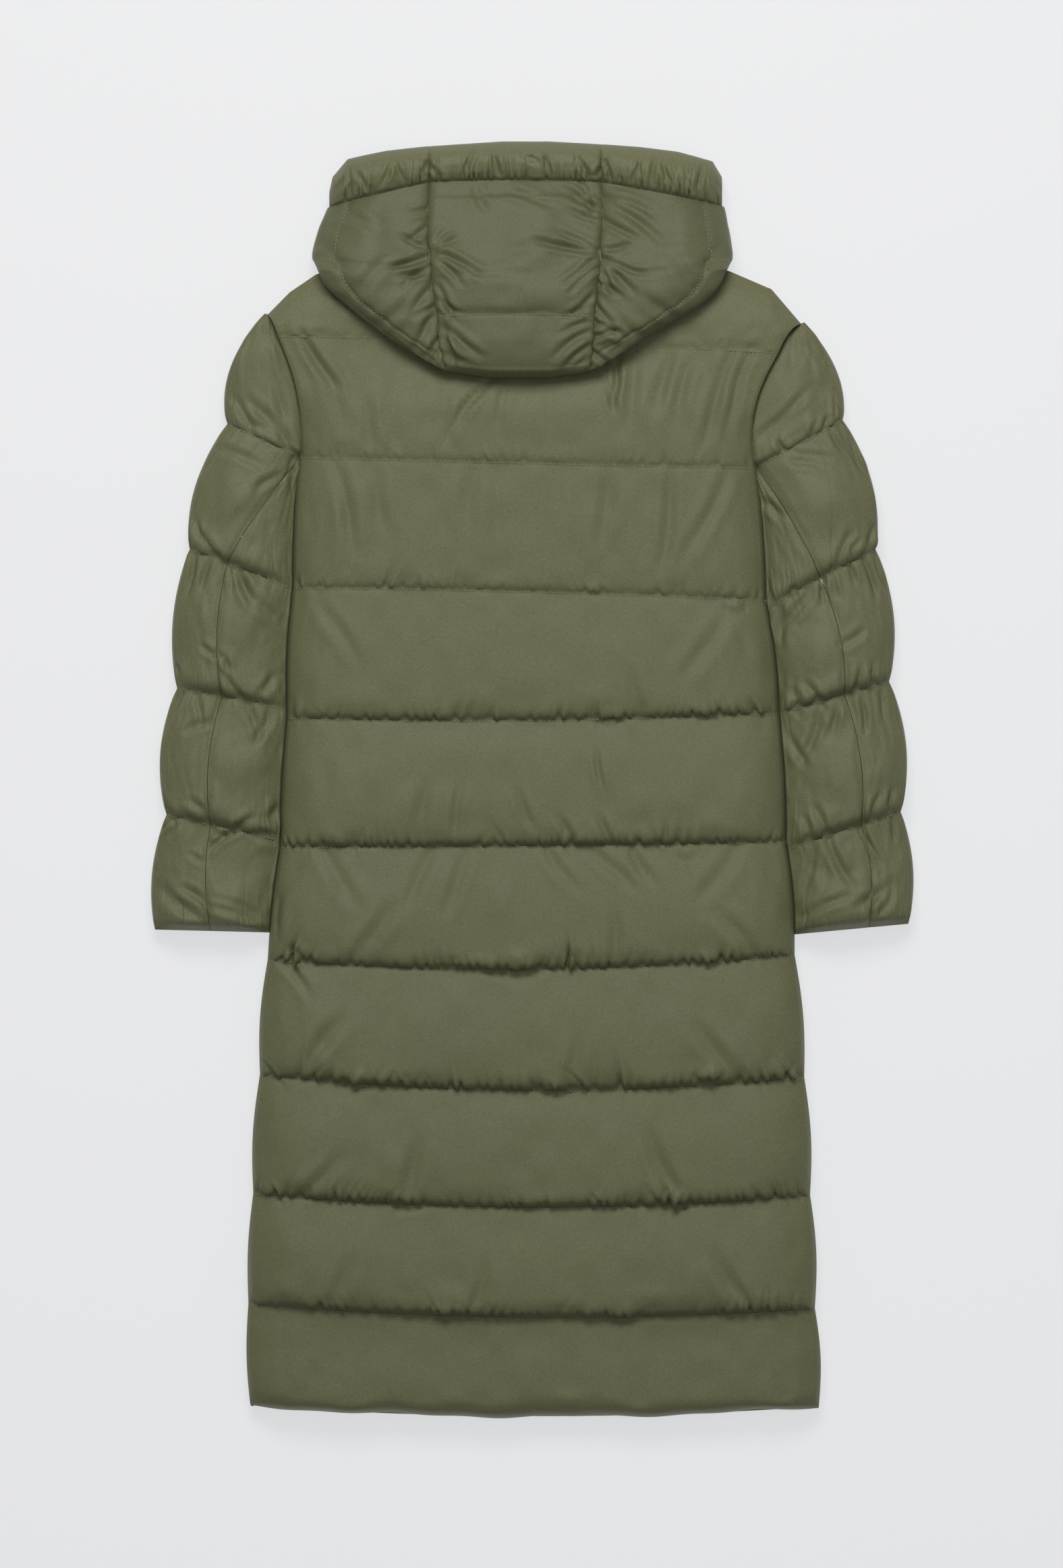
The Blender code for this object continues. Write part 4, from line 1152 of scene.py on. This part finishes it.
def hood_row(station, side):
    """One section of a side panel: over the top, round the fold and back underneath."""
    seam_x = station.left_seam if side < 0 else station.right_seam
    edge_x = station.left_x if side < 0 else station.right_x
    edge_y = station.left_y if side < 0 else station.right_y
    seam_x -= side * SEAM_LAP
    width = abs(edge_x - seam_x)
    reach = min(55.0, 0.85 * width)
    points = []
    for k in range(TOP_COUNT):
        share = 0.5 * (1 - math.cos(math.pi * k / TOP_COUNT)) * 0.985
        rise = quarter((1 - share) * width / reach)
        arch = 6.0 * math.sin(math.pi * share) ** 0.7 * min(1.0, width / 80.0)
        z = station.edge_z + (station.seam_z - station.edge_z) * rise + arch * rise
        z -= 4.5 * math.exp(-share * width / 2.6)
        z -= 2.2 * math.exp(-(((1 - share) * width - TOPSTITCH_IN) / 3.5) ** 2) * min(1.0, width / 60.0)
        points.append((lerp(seam_x, edge_x, share), lerp(station.seam_y, edge_y, share), z))
    way = np.array([side * station.end_x - edge_x, station.end_y - edge_y])
    length = np.linalg.norm(way)
    way = way / length
    around = min(9.0, 0.3 * width)
    drop = station.edge_z - station.low_z
    for k in range(FOLD_COUNT):
        a = math.pi / 2 * k / FOLD_COUNT
        reach_in = around * (1 - math.cos(a))
        points.append((edge_x + way[0] * reach_in, edge_y + way[1] * reach_in,
                       station.edge_z - drop * math.sin(a)))
    for k in range(LEG_COUNT + 1):
        reach_in = lerp(around, length, k / LEG_COUNT)
        points.append((edge_x + way[0] * reach_in, edge_y + way[1] * reach_in, station.low_z))
    return points


# Creases of the hood's side panels, left and right, as seen from above
HOOD_CREASES = {
    -1: creases(
        (-105, 546, 44, 210, 3.5, 3.0), (-106, 540, 46, 196, 3, 2.6), (-106, 550, 34, 158, 3, 2.2),
        (-106, 525, 32, 192, 3, 2.2), (-104, 532, 40, 222, 3, 2.2), (-102, 506, 40, 225, 4, 2.8),
        (-96, 481, 47, 233, 4, 3.0), (-92, 462, 31, 246, 3, 2.8), (-98, 490, 30, 214, 3, 2.2),
        (-90, 448, 26, 232, 3, 2.6), (-107, 572, 28, 214, 3, 1.8), (-106, 592, 24, 200, 3, 1.6),
        (-215, 560, 44, -62, 6, 1.6), (-190, 500, 60, 40, 6, 1.8), (-160, 470, 50, 36, 5, 1.8),
        (-190, 590, 40, -40, 5, 1.6),
    ),
    1: creases(
        (71, 534, 51, -38, 3.5, 3.2), (72, 540, 52, -20, 3, 2.4), (72, 546, 34, 16, 3, 2.0),
        (71, 528, 36, -60, 3, 2.6), (76, 594, 72, -32, 4, 2.6), (74, 582, 46, -38, 3, 2.2),
        (75, 604, 60, -24, 4, 2.0), (69, 512, 30, -30, 3, 2.2), (66, 490, 34, -44, 3, 2.6),
        (64, 470, 40, -20, 3.5, 3.0), (62, 458, 34, 6, 3, 2.8), (60, 446, 30, -36, 3, 2.6),
        (178, 500, 60, 132, 6, 1.8), (196, 560, 44, 244, 6, 1.6), (150, 474, 46, 140, 5, 1.8),
        (120, 456, 40, 150, 5, 1.6),
    ),
}
CENTRE_CREASES = creases(
    (-100, 542, 56, -23, 3.5, 3.4), (-100, 545, 30, 30, 3, 2.4), (-100, 538, 44, -44, 3, 2.6),
    (-100, 548, 26, 58, 3, 2.0), (68, 540, 72, 161, 3.5, 3.4), (68, 536, 46, 212, 3, 2.8),
    (68, 545, 50, 148, 3, 2.2), (66, 528, 40, 226, 3, 2.4), (70, 592, 42, 150, 3, 2.2),
    (70, 578, 36, 162, 3, 1.8), (-99, 508, 44, -56, 3, 2.8), (-97, 498, 34, -36, 3, 2.2),
    (63, 500, 40, 218, 3, 2.8), (62, 488, 26, 204, 3, 2.4), (-92, 462, 45, -65, 3.5, 3.4),
    (-92, 465, 55, -31, 4, 3.0), (-91, 456, 34, -48, 3, 2.8), (-90, 444, 26, -40, 3, 2.4),
    (60, 462, 50, 216, 4, 3.0), (59, 450, 40, 230, 3.5, 3.0), (60, 472, 34, 204, 3, 2.2),
    (57, 438, 24, 222, 3, 2.4), (-10, 486, 22, 96, 4, 1.4), (20, 560, 60, -160, 6, 1.2),
    (-20, 612, 50, -30, 4, 2.0), (30, 614, 54, -38, 4, 2.2), (-60, 614, 34, -60, 4, 1.8),
    (52, 612, 40, -64, 3, 2.0),
)


def make_hood_side(side):
    count = (len(HOOD) - 1) * HOOD_ROWS
    grid = np.array([hood_row(hood_station(k / HOOD_ROWS), side) for k in range(count + 1)])
    rows, columns = grid.shape[:2]
    free = np.ones((rows, columns))
    free[:, 0] = free[:, -1] = 0
    free[:2] = free[-1] = 0
    free[:, TOP_COUNT + 2:] = 0
    flip = side > 0
    near = np.linalg.norm((grid - grid[:, TOP_COUNT:TOP_COUNT + 1])[:, :, :2], axis=2)
    for i in range(12, rows):
        pick = int(np.argmin(np.abs(near[i, :TOP_COUNT] - TOPSTITCH_IN)))
        free[i, pick] = 0
    grid = settle(grid, free, cap=4.0, seed=80 + side, calm=6, flip=flip, surplus=0.6)
    fine = refine(grid, 2, 2, column_breaks=[TOP_COUNT + FOLD_COUNT])
    rng = np.random.default_rng(90 + side)
    lift = -troughs(fine, HOOD_CREASES[side]) + 0.5 * soft_noise(fine.shape[:2], (14, 12), rng)
    fine, out = raise_cloth(fine, lift, flip, 0.1, Margin(2, 2, 2, 0), [])
    fine[:, :, 2] = np.maximum(fine[:, :, 2], 0.2)
    wall = np.full(fine.shape[:2], 5.0)
    wall[:, :5] = wall[:, -5:] = 2.5
    wall[:16] = 1.5
    wall[-5:] = 2.5
    word = "left" if side < 0 else "right"
    piece = closed_mesh("hood_" + word + "_cloth", fine, wall, flip=flip, stride=2)
    # the hood's panels take a darker copy of the shell colour: painted shade
    finish_piece(piece, "hood_side_" + word, depth=HOOD_PAINTED_SHADE)
    line = []
    ups = []
    for i in range(30, fine.shape[0] - 4):
        away = np.linalg.norm((fine[i, :2 * TOP_COUNT] - fine[i, 2 * TOP_COUNT])[:, :2], axis=1)
        pick = int(np.argmin(np.abs(away - TOPSTITCH_IN)))
        line.append(fine[i, pick])
        ups.append(out[i, pick])
    return [(np.array(line), np.array(ups))]


def centre_row(spot, columns):
    """A row of the centre panel; spot runs from the fold over the back to the brim."""
    station = hood_station(spot)
    row = []
    for k in range(columns + 1):
        share = 0.5 * (1 - math.cos(math.pi * k / columns))
        arch = math.sin(math.pi * share)
        x = lerp(station.left_seam - SEAM_LAP, station.right_seam + SEAM_LAP, share)
        bow = (along(FOLD_Y, share) - FOLD_Y[0][1]) * max(0.0, 1 - spot)
        y = station.seam_y + 2 * arch * min(1.0, spot) + bow
        edge = min(abs(x - station.left_seam), abs(x - station.right_seam))
        z = station.seam_z + 7 * arch ** 0.6 * (1 if spot < len(HOOD) - 1.5 else len(HOOD) - 1 - spot)
        z -= 4.5 * math.exp(-edge / 2.6)
        z -= 1.2 * math.exp(-((y - CROSS_STITCH_Y) / 4.0) ** 2)
        row.append((x, y, z))
    return row


def make_hood_centre():
    columns = 36
    left = hood_row(HOOD[0], -1)
    right = hood_row(HOOD[0], 1)
    rows = []
    for index in range(TOP_COUNT + FOLD_COUNT + LEG_COUNT, TOP_COUNT - 1, -2):
        a = left[index]
        b = right[index]
        row = []
        for k in range(columns + 1):
            share = 0.5 * (1 - math.cos(math.pi * k / columns))
            leg = max(0.0, (index - TOP_COUNT - FOLD_COUNT) / LEG_COUNT)
            bow = (along(FOLD_Y, share) - FOLD_Y[0][1]) * (1 - min(1.0, 3 * leg))
            row.append((lerp(a[0] + 1.2, b[0] - 1.2, share), lerp(a[1], b[1], share) - 0.8 + bow,
                        lerp(a[2], b[2], share)))
        rows.append(row)
    under = len(rows)
    count = (len(HOOD) - 1) * HOOD_ROWS
    rows += [centre_row(k / HOOD_ROWS, columns) for k in range(1, count + 1)]
    rows = rows[(len(rows) - 1) % 2:]
    grid = np.array(rows)
    free = np.ones(grid.shape[:2])
    free[:, 0] = free[:, -1] = 0
    free[:under - 2] = 0
    free[-1] = 0
    cross = int(np.argmin(np.abs(grid[under:, columns // 2, 1] - CROSS_STITCH_Y))) + under
    free[cross] = 0
    grid = settle(grid, free, cap=4.0, seed=84, calm=6, flip=True, surplus=0.6)
    fine = refine(grid, 2, 2, row_breaks=[cross])
    rng = np.random.default_rng(97)
    lift = -troughs(fine, CENTRE_CREASES) + 0.5 * soft_noise(fine.shape[:2], (14, 12), rng)
    fine, out = raise_cloth(fine, lift, True, 0.1, Margin(0, 2, 2, 2), [2 * cross])
    wall = np.full(fine.shape[:2], 5.0)
    wall[:, :5] = wall[:, -5:] = 2.0
    wall[:2 * under] = 3.0
    wall[-5:] = 2.0
    piece = closed_mesh("hood_centre_cloth", fine, wall, flip=True, stride=2)
    # the hood's panels take a darker copy of the shell colour: painted shade
    finish_piece(piece, "hood_centre", depth=HOOD_PAINTED_SHADE)
    row = fine[2 * cross, 3:-3]
    return [(row + [0, 0, 0.2], out[2 * cross, 3:-3])]


# ---------------------------------------------------------------- brim forms
BRIM_WIDTH = 38.0         # the roll is full where the brim is at least this wide
GATHER_HEIGHT = 7.0
GATHER_WANDER = 5.0       # how far the gathers push the cloth over its seam
BRIM_CREASES = creases(
    (-199, 610, 26, 62, 2.5, 2.6), (-186, 605, 30, 100, 2.5, 2.2), (-172, 611, 24, 118, 2.5, 2.6),
    (-154, 615, 30, 70, 2.5, 2.4), (-132, 619, 26, 112, 3, 2.8), (-112, 620, 22, 76, 2.5, 2.4),
    (-96, 622, 28, 128, 2.5, 2.6), (-68, 624, 30, 74, 2.5, 2.6), (-30, 624, 26, 116, 3, 3.0),
    (-8, 646, 22, -30, 3, 2.6), (18, 626, 24, 96, 2.5, 2.4), (46, 642, 26, -48, 3, 3.2),
    (66, 624, 26, 58, 2.5, 3.0), (84, 620, 26, 118, 2.5, 2.8), (104, 620, 24, 66, 2.5, 2.6),
    (126, 617, 30, 84, 2.5, 2.4), (146, 615, 24, 122, 2.5, 2.6), (168, 610, 30, 66, 2.5, 2.6),
    (188, 606, 28, 82, 2.5, 2.4), (192, 622, 20, -66, 2.5, 2.2),
)


def brim_seam(side):
    """The upper end of the hood's panels, from left to right."""
    if side:
        row = hood_row(HOOD[-1], side)[:TOP_COUNT]
        return row[::-1] if side < 0 else row
    return centre_row(len(HOOD) - 1.0, 36)


def brim_rolls():
    """The section of the brim, with two more steps between each pair of its table."""
    rolls = [BRIM_ROLL[0]]
    for a, b in zip(BRIM_ROLL, BRIM_ROLL[1:]):
        rolls += [Roll(lerp(a.share, b.share, f), lerp(a.z, b.z, f)) for f in (1 / 3, 2 / 3, 1.0)]
    return rolls


def make_brim(name, node, side, seed):
    """One length of the brim: a roll of cloth, gathered along its seam and closed at its end."""
    seam = np.array(brim_seam(side))
    far = np.concatenate([[0], np.cumsum(np.linalg.norm(np.diff(seam[:, :2], axis=0), axis=1))])
    count = max(24, int(far[-1] / 1.6) // 4 * 4)
    spots = np.linspace(0, far[-1], count + 1)
    seam = np.stack([np.interp(spots, far, seam[:, k]) for k in range(3)], axis=1)
    rng = np.random.default_rng(seed)
    gaps = rng.lognormal(0.0, 0.6, int(far[-1] / 7.5) + 2)
    marks = np.concatenate([[0.0], np.cumsum(gaps)]) / gaps.sum() * far[-1]
    strength = rng.uniform(0.35, 1.25, len(marks))
    leans = rng.normal(0.0, 5.0, len(marks))
    rows = []
    for roll in brim_rolls():
        row = []
        for k, (x, y, z) in enumerate(seam):
            reach = along(BRIM_OUT_Y, x) - y + SEAM_LAP
            scale = min(1.0, reach / BRIM_WIDTH)
            lean = np.interp(spots[k], marks, leans) * roll.share
            phase = np.interp(spots[k] + lean, marks, np.arange(len(marks)))
            power = np.interp(spots[k], marks, strength)
            reach_up = 0.22 + 0.3 * (power - 0.35)
            gather = abs(math.sin(math.pi * phase)) ** 0.6 - 0.6
            fade = math.exp(-roll.share / reach_up) * min(1.0, k / 3, (count - k) / 3)
            lift = GATHER_HEIGHT * power * gather * min(1.0, 0.35 + roll.share * 8) * fade * scale
            ends = 2.0 * math.exp(-min(k, count - k) / 2.0) * max(0.0, roll.z) / 9.0
            turn = max(scale, min(1.0, (z - 1.0) / -BRIM_ROLL[-1].z)) if roll.z < 0 else scale
            out_wave = 1.2 * power * gather * math.sin(math.pi * min(1.0, roll.share * 1.1)) ** 2
            out_wave += GATHER_WANDER * power * (gather + 0.25) * fade * min(1.0, roll.share * 12)
            row.append((x, y - SEAM_LAP + roll.share * reach - 0.4 * out_wave,
                        max(1.0, z + roll.z * turn + lift - ends)))
        if side > 0:
            row += [(row[-1][0], row[-1][1], lerp(row[-1][2], 1.0, f)) for f in (0.5, 1.0)]
        elif side < 0:
            row[:0] = [(row[0][0], row[0][1], lerp(row[0][2], 1.0, f)) for f in (1.0, 0.5)]
        rows.append(row)
    grid = np.array(rows)
    fine = refine(grid, 1, 2)
    press = np.clip(-normals(fine)[:, :, 2:] / 0.5, 0, 1)
    fine = fine - np.array([0.0, 0.0, 1.0]) * press * troughs(fine, BRIM_CREASES)[:, :, None]
    wall = np.full(fine.shape[:2], 2.2)
    narrow = np.clip((fine[-3:, :, 1].mean(axis=0) - fine[0, :, 1]) / BRIM_WIDTH, 0.15, 1.0)
    wall = wall * narrow[None, :]
    piece = closed_mesh(name, fine, wall, flip=True)
    finish_piece(piece, node)


# ----------------------------------------------------------------- the zip
TOOTH_PITCH = 2.6
TOOTH_SIZE = (3.6, 1.5, 1.2)


def make_teeth():
    """Teeth of the closed zip, just under its tape, with room for the slider."""
    verts = []
    faces = []
    low = ZIP_BOTTOM_Y + 8.0
    high = ZIP_TOP_Y - 32.0
    for k in range(int((high - low) / TOOTH_PITCH)):
        side = 1 if k % 2 else -1
        centre = (side * 0.9, low + k * TOOTH_PITCH, 2.0 - TOOTH_SIZE[2] / 2 - 0.05)
        first = len(verts)
        for dz in (-0.5, 0.5):
            for dx, dy in ((-0.5, -0.5), (0.5, -0.5), (0.5, 0.5), (-0.5, 0.5)):
                slim = 0.8 if dz < 0 else 1.0
                verts.append((centre[0] + dx * TOOTH_SIZE[0] * slim, centre[1] + dy * TOOTH_SIZE[1] * slim,
                              centre[2] + dz * TOOTH_SIZE[2]))
        for face in ((3, 2, 1, 0), (4, 5, 6, 7), (0, 1, 5, 4), (1, 2, 6, 5), (2, 3, 7, 6), (3, 0, 4, 7)):
            faces.append(tuple(first + f for f in face))
    teeth = add_mesh("zip_teeth", verts, faces)
    teeth.data.materials.append(zip_material("zip_moulding", 0.35, 300.0))
    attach(teeth, "root")


def give_material(node, material):
    """A CAD node that keeps its shape gets its finish."""
    for slot in bpy.data.objects[node].material_slots:
        slot.material = material


# ----------------------------------------------------------------- operators
class COAT_OT_back(bpy.types.Operator):
    """Fill and stitch the back panel."""

    bl_idname = "coat.back"
    bl_label = "Back panel"

    def execute(self, context):
        make_back()
        return {"FINISHED"}


class COAT_OT_fronts(bpy.types.Operator):
    """Make the two fronts that the coat lies on."""

    bl_idname = "coat.fronts"
    bl_label = "Fronts"

    def execute(self, context):
        runs = make_front(-1) + make_front(1)
        stitch_mesh("front_stitches", runs)
        return {"FINISHED"}


class COAT_OT_sleeves(bpy.types.Operator):
    """Fill and gather both sleeves."""

    bl_idname = "coat.sleeves"
    bl_label = "Sleeves"

    def execute(self, context):
        runs = make_sleeve(LEFT_SLEEVE, -1) + make_sleeve(RIGHT_SLEEVE, 1)
        stitch_mesh("sleeve_stitches", runs)
        return {"FINISHED"}


class COAT_OT_hood(bpy.types.Operator):
    """Fill the hood's three panels."""

    bl_idname = "coat.hood"
    bl_label = "Hood"

    def execute(self, context):
        runs = make_hood_side(-1) + make_hood_side(1) + make_hood_centre()
        stitch_mesh("hood_stitches", runs)
        return {"FINISHED"}


class COAT_OT_brim(bpy.types.Operator):
    """Gather the brim along the hood's upper edge."""

    bl_idname = "coat.brim"
    bl_label = "Brim"

    def execute(self, context):
        make_brim("brim_left_cloth", "hood_brim_left", -1, 3)
        make_brim("brim_centre_cloth", "hood_brim_centre", 0, 4)
        make_brim("brim_right_cloth", "hood_brim_right", 1, 6)
        return {"FINISHED"}


class COAT_OT_zip(bpy.types.Operator):
    """Give the zip its tape, teeth and slider finish."""

    bl_idname = "coat.zip"
    bl_label = "Zip"

    def execute(self, context):
        give_material("front_zip", zip_material("zip_tape", 0.7, 1500.0))
        give_material("zip_slider", zip_material("zip_metal", 0.3, 120.0))
        make_teeth()
        return {"FINISHED"}


class COAT_OT_stage(bpy.types.Operator):
    """Set the floor, the soft lights and the camera straight above."""

    bl_idname = "coat.stage"
    bl_label = "Stage"

    def execute(self, context):
        make_stage(context.scene)
        return {"FINISHED"}


def aim(item, target):
    item.rotation_euler = (Vector(target) - item.location).to_track_quat("-Z", "Y").to_euler()


def area_light(name, spot, target, size, power, colour):
    light = bpy.data.lights.new(name, "AREA")
    light.shape = "RECTANGLE"
    light.size = size[0]
    light.size_y = size[1]
    light.energy = power
    light.color = colour
    item = bpy.data.objects.new(name, light)
    bpy.context.scene.collection.objects.link(item)
    item.location = spot
    aim(item, target)


FRAME_CENTRE = (0.35, -4.2)      # what the camera looks at, in the pattern's millimetres


def make_stage(scene):
    settings = scene.coat_stage
    middle = Vector((FRAME_CENTRE[0] * MM + SHIFT[0], FRAME_CENTRE[1] * MM + SHIFT[1], 0.0))
    bpy.ops.mesh.primitive_plane_add(size=14.0, location=(middle.x, middle.y, -0.0003))
    floor = bpy.context.object
    floor.name = "floor"
    mat, tree = new_material("pale_floor")
    shader = tree.nodes["Principled BSDF"]
    shader.inputs["Base Color"].default_value = (0.2, 0.2, 0.2, 1.0)
    shader.inputs["Emission Color"].default_value = (*settings.floor, 1.0)
    shader.inputs["Emission Strength"].default_value = settings.floor_glow
    shader.inputs["Roughness"].default_value = 0.9
    shader.inputs["Specular IOR Level"].default_value = 0.2
    floor.data.materials.append(mat)
    area_light("beyond_hood", (middle.x - 0.2, middle.y + 2.2, 2.9), middle, (1.8, 1.2),
               settings.key, (1.0, 0.99, 0.97))
    area_light("overhead", (middle.x + 0.4, middle.y + 0.4, 3.4), middle, (3.0, 3.0),
               settings.key * 0.24, (1.0, 1.0, 1.0))
    world = bpy.data.worlds.new("soft_room")
    scene.world = world
    world.use_nodes = True
    world.node_tree.nodes["Background"].inputs["Color"].default_value = (0.97, 0.985, 1.0, 1.0)
    world.node_tree.nodes["Background"].inputs["Strength"].default_value = settings.fill
    camera = bpy.data.cameras.new("above")
    camera.sensor_fit = "VERTICAL"
    camera.sensor_height = 24.0
    camera.lens = 24.0 * settings.camera_height / settings.frame_height
    camera.clip_end = 50.0
    item = bpy.data.objects.new("above", camera)
    scene.collection.objects.link(item)
    item.location = (middle.x, middle.y, settings.camera_height)
    scene.camera = item
    scene.view_settings.view_transform = "Standard"
    scene.view_settings.look = "None"


class COAT_PT_panel(bpy.types.Panel):
    """Lists the coat's sizes, colours and steps."""

    bl_idname = "COAT_PT_panel"
    bl_label = "Long puffer coat"
    bl_space_type = "VIEW_3D"
    bl_region_type = "UI"
    bl_category = "Coat"

    def draw(self, context):
        layout = self.layout
        for group in (context.scene.coat, context.scene.coat_stage):
            for name in group.bl_rna.properties.keys():
                if name not in ("rna_type", "name"):
                    layout.prop(group, name)
        for operator in OPERATORS:
            layout.operator(operator.bl_idname)


OPERATORS = (COAT_OT_stage, COAT_OT_back, COAT_OT_fronts, COAT_OT_sleeves, COAT_OT_hood,
             COAT_OT_brim, COAT_OT_zip)
CLASSES = (CoatSettings, CoatStageSettings, *OPERATORS, COAT_PT_panel)


def register():
    for item in CLASSES:
        bpy.utils.register_class(item)
    bpy.types.Scene.coat = bpy.props.PointerProperty(type=CoatSettings)
    bpy.types.Scene.coat_stage = bpy.props.PointerProperty(type=CoatStageSettings)


def unregister():
    del bpy.types.Scene.coat_stage
    del bpy.types.Scene.coat
    for item in reversed(CLASSES):
        bpy.utils.unregister_class(item)


def main():
    register()
    bpy.ops.coat.stage()
    bpy.ops.coat.back()
    bpy.ops.coat.fronts()
    bpy.ops.coat.sleeves()
    bpy.ops.coat.hood()
    bpy.ops.coat.brim()
    bpy.ops.coat.zip()


if __name__ == "__main__":
    main()
